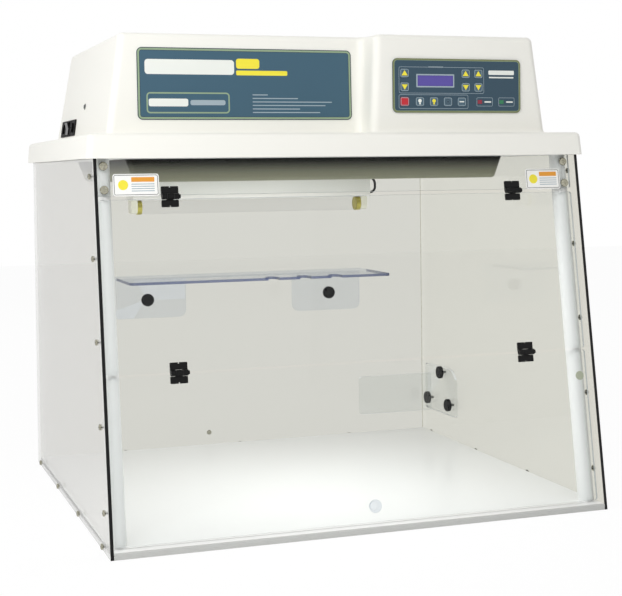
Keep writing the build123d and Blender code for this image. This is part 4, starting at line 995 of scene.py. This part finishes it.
@dataclass(frozen=True)
class ControlPanel:
    """Blue overlay with keys, display and indicators."""

    plate: Block = Block(0.0, 0.0, 225, 86, 8)
    thickness: float = 2.2
    edge: float = 2.6
    line: float = 0.5
    groups: tuple[Block, ...] = (
        Block(-27.7, 8.7, 149, 42, 3, 0.6),
        Block(-42.0, -25.5, 121, 22.4, 3, 0.6),
        Block(-38.0, 29.6, 26, 2.0, 0.5),
    )
    bars: tuple[Block, ...] = (Block(78, 21.8, 46, 7.0, 1.6), Block(78, 14.0, 44, 2.2, 0.6))
    bezel: Block = Block(-39.0, 7.8, 66.2, 21.2, 1.2, 2.1)
    windows: tuple[Block, ...] = (
        Block(47.9, -25.5, 28.6, 14.0, 2, 0.6),
        Block(87.0, -25.5, 28.6, 14.0, 2, 0.6),
    )
    red_lens: Block = Block(39.3, -25.5, 7.8, 6.2, 0.8)
    green_lens: Block = Block(78.0, -25.5, 7.8, 6.2, 0.8)
    window_bars: tuple[Block, ...] = (
        Block(53.5, -25.5, 12, 2.2, 0.6),
        Block(92.5, -25.5, 12, 2.2, 0.6),
    )
    key_outline: Block = Block(0.0, 0.0, 13.7, 12.7, 2.4, 0.8)
    key_bar: Block = Block(0.0, 0.0, 8.4, 1.8, 0.6)
    arrow: tuple[tuple[float, float], ...] = ((-5.2, -3.8), (5.2, -3.8), (0.0, 4.6))
    bulb_radius: float = 3.0
    bulb_y: float = 1.2
    bulb_foot: Block = Block(0.0, -3.2, 2.6, 2.8, 0.4)
    fan_radii: Triple = (4.2, 3.5, 1.4)

    def key_marks(self) -> dict[str, Mark]:
        """The mark of each key.

        Returns:
            Marks by node name.
        """
        return {
            "key_left_up": Mark.UP,
            "key_left_down": Mark.DOWN,
            "key_middle_up": Mark.UP,
            "key_middle_down": Mark.DOWN,
            "key_right_up": Mark.UP,
            "key_right_down": Mark.DOWN,
            "key_stop": Mark.PLAIN,
            "key_uv_lamp": Mark.LAMP,
            "key_work_lamp": Mark.BULB,
            "key_blower": Mark.FAN,
            "key_mode": Mark.BAR,
        }

    def mark_shape(self, mark: Mark) -> tuple[Sheet, Finish]:
        """The printed shape of a mark.

        Args:
            mark: which mark.

        Returns:
            The shape and its ink.
        """
        if mark in (Mark.UP, Mark.DOWN):
            sign = 1 if mark is Mark.UP else -1
            corners = np.array(self.arrow) * (1, sign)
            return patch(corners[::sign]), Paint.ink_yellow
        if mark in (Mark.LAMP, Mark.BULB):
            bulb = shifted(patch(circle_outline(self.bulb_radius, 24)), 0, self.bulb_y)
            bulb_ink = Paint.ink_pale if mark is Mark.LAMP else Paint.ink_yellow
            return joined(bulb, self.bulb_foot.sheet()), bulb_ink
        if mark is Mark.FAN:
            rim, inside, hub = self.fan_radii
            ring = band(circle_outline(rim), circle_outline(inside))
            return joined(ring, patch(circle_outline(hub, 20))), Paint.ink_dark
        return self.key_bar.sheet(), Paint.ink_pale

    def build(self) -> None:
        """Dresses the panel and prints its lines, groups, windows and keys."""
        dress(Paint.panel_film, "control_overlay")
        dress(Paint.board, "control_board")
        dress(Paint.display, "display_module")
        dress(Paint.lamp_lens, "indicator_leds")
        place = front_place("control_overlay", 0.0, self.thickness)
        edge = self.plate.inset(0.0, self.plate.radius, self.edge)
        line = self.plate.inset(self.edge, self.plate.radius - self.edge, self.line)
        for name, finish, slot, blocks in (
            ("panel_edge", Paint.ink_olive, "blue_film", (edge,)),
            ("panel_line", Paint.ink_line, "blue_film", (line,)),
            ("panel_groups", Paint.ink_grey, "blue_film", self.groups),
            ("panel_bars", Paint.ink_pale, "blue_film", self.bars),
            ("display_frame", Paint.ink_grey, "blue_film", (self.bezel,)),
            ("indicator_frames", Paint.ink_grey, "blue_film", self.windows),
            ("red_lens", Paint.lens_red, "indicator", (self.red_lens,)),
            ("green_lens", Paint.lens_green, "indicator", (self.green_lens,)),
            ("indicator_bars", Paint.ink_pale, "blue_film", self.window_bars),
        ):
            add_print(name, finish, place, slot, *blocks)
        for node, mark in self.key_marks().items():
            self.add_key(node, mark)

    def add_key(self, node: str, mark: Mark) -> None:
        """Dresses a key and prints its outline and mark.

        Args:
            node: the key's CAD node.
            mark: what is printed on it.
        """
        is_red = mark is Mark.PLAIN
        dress(Paint.key_red if is_red else Paint.key, node)
        low, high = (np.array(corner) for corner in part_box(node))
        place = front_place(node, 0.0, (high[1] - low[1]) / MM)
        outline, body = self.key_outline.sheet(), f"{node}_body"
        add_piece(f"{node}_outline", outline, place, Paint.ink_grey, body)
        if not is_red:
            shape, mark_ink = self.mark_shape(mark)
            add_piece(f"{node}_mark", shape, place, mark_ink, body)


@dataclass(frozen=True)
class MainsEntry:
    """Inlet, switch and fuse holder on the left of the head, with a small screw before them."""

    wall_draft: float = 7.99
    screw_at: Triple = (-352.46, 36.0, 652.0)
    washer_r: float = 5.0
    washer_t: float = 0.8
    screw_r: float = 3.2
    screw_t: float = 2.4
    sunk: float = 0.1

    def add_screw(self) -> None:
        """Adds the small screw with its washer, both sunk a little in the drafted left wall."""
        draft = radians(self.wall_draft)
        wall = Place(
            np.array(self.screw_at) * MM,
            np.array([0.0, -1.0, 0.0]),
            np.array([sin(draft), 0.0, cos(draft)]),
        )
        washer = patch(circle_outline(self.washer_r), self.washer_t + self.sunk, -self.sunk)
        head = patch(circle_outline(self.screw_r), self.screw_t, -self.sunk)
        add_piece("wall_screw", joined(washer, head), wall, Paint.nickel, CABINET)

    def build(self) -> None:
        """Dresses the mains entry and adds the screw."""
        self.add_screw()
        dress(Paint.mains, "power_inlet", "switch_bezel", "fuse_holder")
        dress(Paint.phenolic, "rocker_switch")
        dress(Paint.pin, "inlet_pins")


@dataclass(frozen=True)
class FilterUnit:
    """Filter tray, filter, deck and blower."""

    def build(self) -> None:
        """Dresses the filter unit."""
        dress(Paint.tray, "filter_tray")
        dress(Paint.filter_frame, "hepa_frame")
        dress(Paint.paper, "hepa_media")
        dress(Paint.galvanised, "blower_deck", "blower_housing", "impeller")
        dress(Paint.motor, "blower_motor")


@dataclass(frozen=True)
class UvLamp:
    """Lamp housing, lampholders, tube, ballast and lead."""

    def build(self) -> None:
        """Dresses the lamp."""
        dress(Paint.powder, "lamp_housing", "ballast")
        dress(Paint.lampholder, "lampholders")
        dress(Paint.tube_glass, "uv_tube")
        dress(Paint.cap, "tube_caps")
        dress(Paint.cable, "lamp_lead")


@dataclass(frozen=True)
class Fittings:
    """Shelf and holder with their thumb screws."""

    def build(self) -> None:
        """Dresses the shelf and the holder."""
        dress(Paint.shelf_sheet, "shelf")
        dress(Paint.holder_sheet, "side_holder")
        dress(Paint.mains, "thumb_screws")


# Camera, light and floor


@dataclass(frozen=True)
class SoftLight:
    """A square soft light, with its place, its side and the point that it looks at in metres."""

    name: str
    at: Triple
    size: float
    watts: float
    towards: Triple = (0.0, 0.0, 0.4)

    def build(self) -> None:
        """Adds the light. The camera and the mirrors don't see it."""
        data = bpy.data.lights.new(self.name, "AREA")
        data.size = self.size
        data.energy = self.watts
        light = bpy.data.objects.new(self.name, data)
        light.visible_camera = False
        light.visible_glossy = False
        aim = (Vector(self.towards) - Vector(self.at)).to_track_quat("-Z", "Y")
        light.matrix_world = Matrix.Translation(Vector(self.at)) @ aim.to_matrix().to_4x4()
        bpy.context.scene.collection.objects.link(light)


@dataclass(frozen=True)
class Studio:
    """Camera at the photograph's viewing angle, soft lights and a pale floor.

    The camera's place in millimetres, its turn in radians and its focal length in pixels were
    fitted to the object's corners. The floor's sizes are in metres.
    """

    image: tuple[int, int] = (622, 596)
    camera_at: Triple = (-752.80, -2227.39, 539.03)
    yaw: float = 0.3265
    pitch: float = -0.0249
    roll: float = -0.0125
    focal_px: float = 1362.85
    axis_px: tuple[float, float] = (294.74, 205.98)
    sensor_mm: float = 36.0
    floor_size: float = 12.0
    floor_drop: float = 0.0005
    floor_white: float = 0.97
    floor_glow: float = 0.94
    world_light: float = 0.6
    lights: tuple[SoftLight, ...] = (
        SoftLight("key_light", (-1.0, -1.3, 1.3), 0.9, 10.0),
        SoftLight("side_light", (-2.2, -0.9, 1.0), 1.2, 10.0),
        SoftLight("fill_light", (-0.3, -2.2, 2.4), 1.6, 2.5),
        SoftLight("back_light", (0.6, 2.6, 1.8), 1.6, 8.0),
        SoftLight("chamber_light", (0.0, -0.14, 0.5), 0.3, 1.7, (0.0, -0.04, 0.0)),
    )

    def add_camera(self) -> None:
        """Adds the camera: it looks along its fitted direction, turned by its roll."""
        forward = np.array(
            [sin(self.yaw) * cos(self.pitch), cos(self.yaw) * cos(self.pitch), sin(self.pitch)]
        )
        right = np.array([cos(self.yaw), -sin(self.yaw), 0.0])
        up = np.cross(right, forward)
        turn_cos, turn_sin = cos(self.roll), sin(self.roll)
        rolled_right = turn_cos * right + turn_sin * up
        rolled_up = -turn_sin * right + turn_cos * up
        data = bpy.data.cameras.new("camera")
        wide, tall = self.image
        data.sensor_width = self.sensor_mm
        data.lens = self.focal_px / wide * self.sensor_mm
        data.shift_x = (wide / 2 - self.axis_px[0]) / wide
        data.shift_y = (self.axis_px[1] - tall / 2) / wide
        camera = bpy.data.objects.new("camera", data)
        turn = Matrix(np.stack((rolled_right, rolled_up, -forward), axis=1).tolist())
        camera.matrix_world = Matrix.Translation(Vector(self.camera_at) * MM) @ turn.to_4x4()
        bpy.context.scene.collection.objects.link(camera)
        bpy.context.scene.camera = camera

    def add_world(self) -> None:
        """White behind everything, while it lights the object at a plain level."""
        world = bpy.data.worlds.new("white_room")
        world.use_nodes = True
        tree = world.node_tree
        tree.nodes.clear()
        shown = seen_by(tree, Ray.CAMERA, Ray.TRANSMISSION, Ray.GLOSSY)
        strength = add_node(tree, "ShaderNodeMapRange", {0: shown, 3: self.world_light, 4: 1.0})
        light = add_node(
            tree,
            "ShaderNodeBackground",
            {"Color": linear(WHITE), "Strength": strength.outputs[0]},
        )
        add_node(tree, "ShaderNodeOutputWorld", {"Surface": light.outputs["Background"]})
        bpy.context.scene.world = world

    def floor_material(self) -> bpy.types.Material:
        """White that glows for the camera and in mirrors, and still takes the object's shadow.

        Returns:
            The material.
        """
        material, tree = empty_material("white_floor")
        white = (self.floor_white, self.floor_white, self.floor_white, 1.0)
        diffuse = add_node(tree, "ShaderNodeBsdfDiffuse", {"Color": white})
        glow = add_node(tree, "ShaderNodeEmission", {"Color": linear(WHITE), "Strength": 1.0})
        seen = seen_by(tree, Ray.CAMERA, Ray.GLOSSY)
        share = add_node(
            tree, "ShaderNodeMath", {0: seen, 1: self.floor_glow}, operation="MULTIPLY"
        )
        mixed = add_node(
            tree,
            "ShaderNodeMixShader",
            {0: share.outputs[0], 1: diffuse.outputs["BSDF"], 2: glow.outputs["Emission"]},
        )
        add_node(tree, "ShaderNodeOutputMaterial", {"Surface": mixed.outputs["Shader"]})
        return material

    def add_floor(self) -> None:
        """Adds the floor, a square just under the object."""
        half, z = self.floor_size / 2, -self.floor_drop
        corners = [(-half, -half, z), (half, -half, z), (half, half, z), (-half, half, z)]
        mesh = bpy.data.meshes.new("floor")
        mesh.from_pydata(corners, [], [(0, 1, 2, 3)])
        mesh.materials.append(self.floor_material())
        floor = bpy.data.objects.new("floor", mesh)
        bpy.context.scene.collection.objects.link(floor)

    def build(self) -> None:
        """Sets up the studio."""
        bpy.context.scene.view_settings.view_transform = "Standard"
        self.add_camera()
        self.add_world()
        self.add_floor()
        for light in self.lights:
            light.build()


def main() -> None:
    """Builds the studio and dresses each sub-assembly in order."""
    logging.basicConfig(level=logging.INFO, format="%(name)s: %(message)s")
    for part in (
        Studio(),
        Enclosure(),
        Doors(),
        TransomLabels(),
        Head(),
        Nameplate(),
        ControlPanel(),
        MainsEntry(),
        FilterUnit(),
        UvLamp(),
        Fittings(),
    ):
        part.build()
        log.info("%s built", type(part).__name__)


if __name__ == "__main__":
    main()
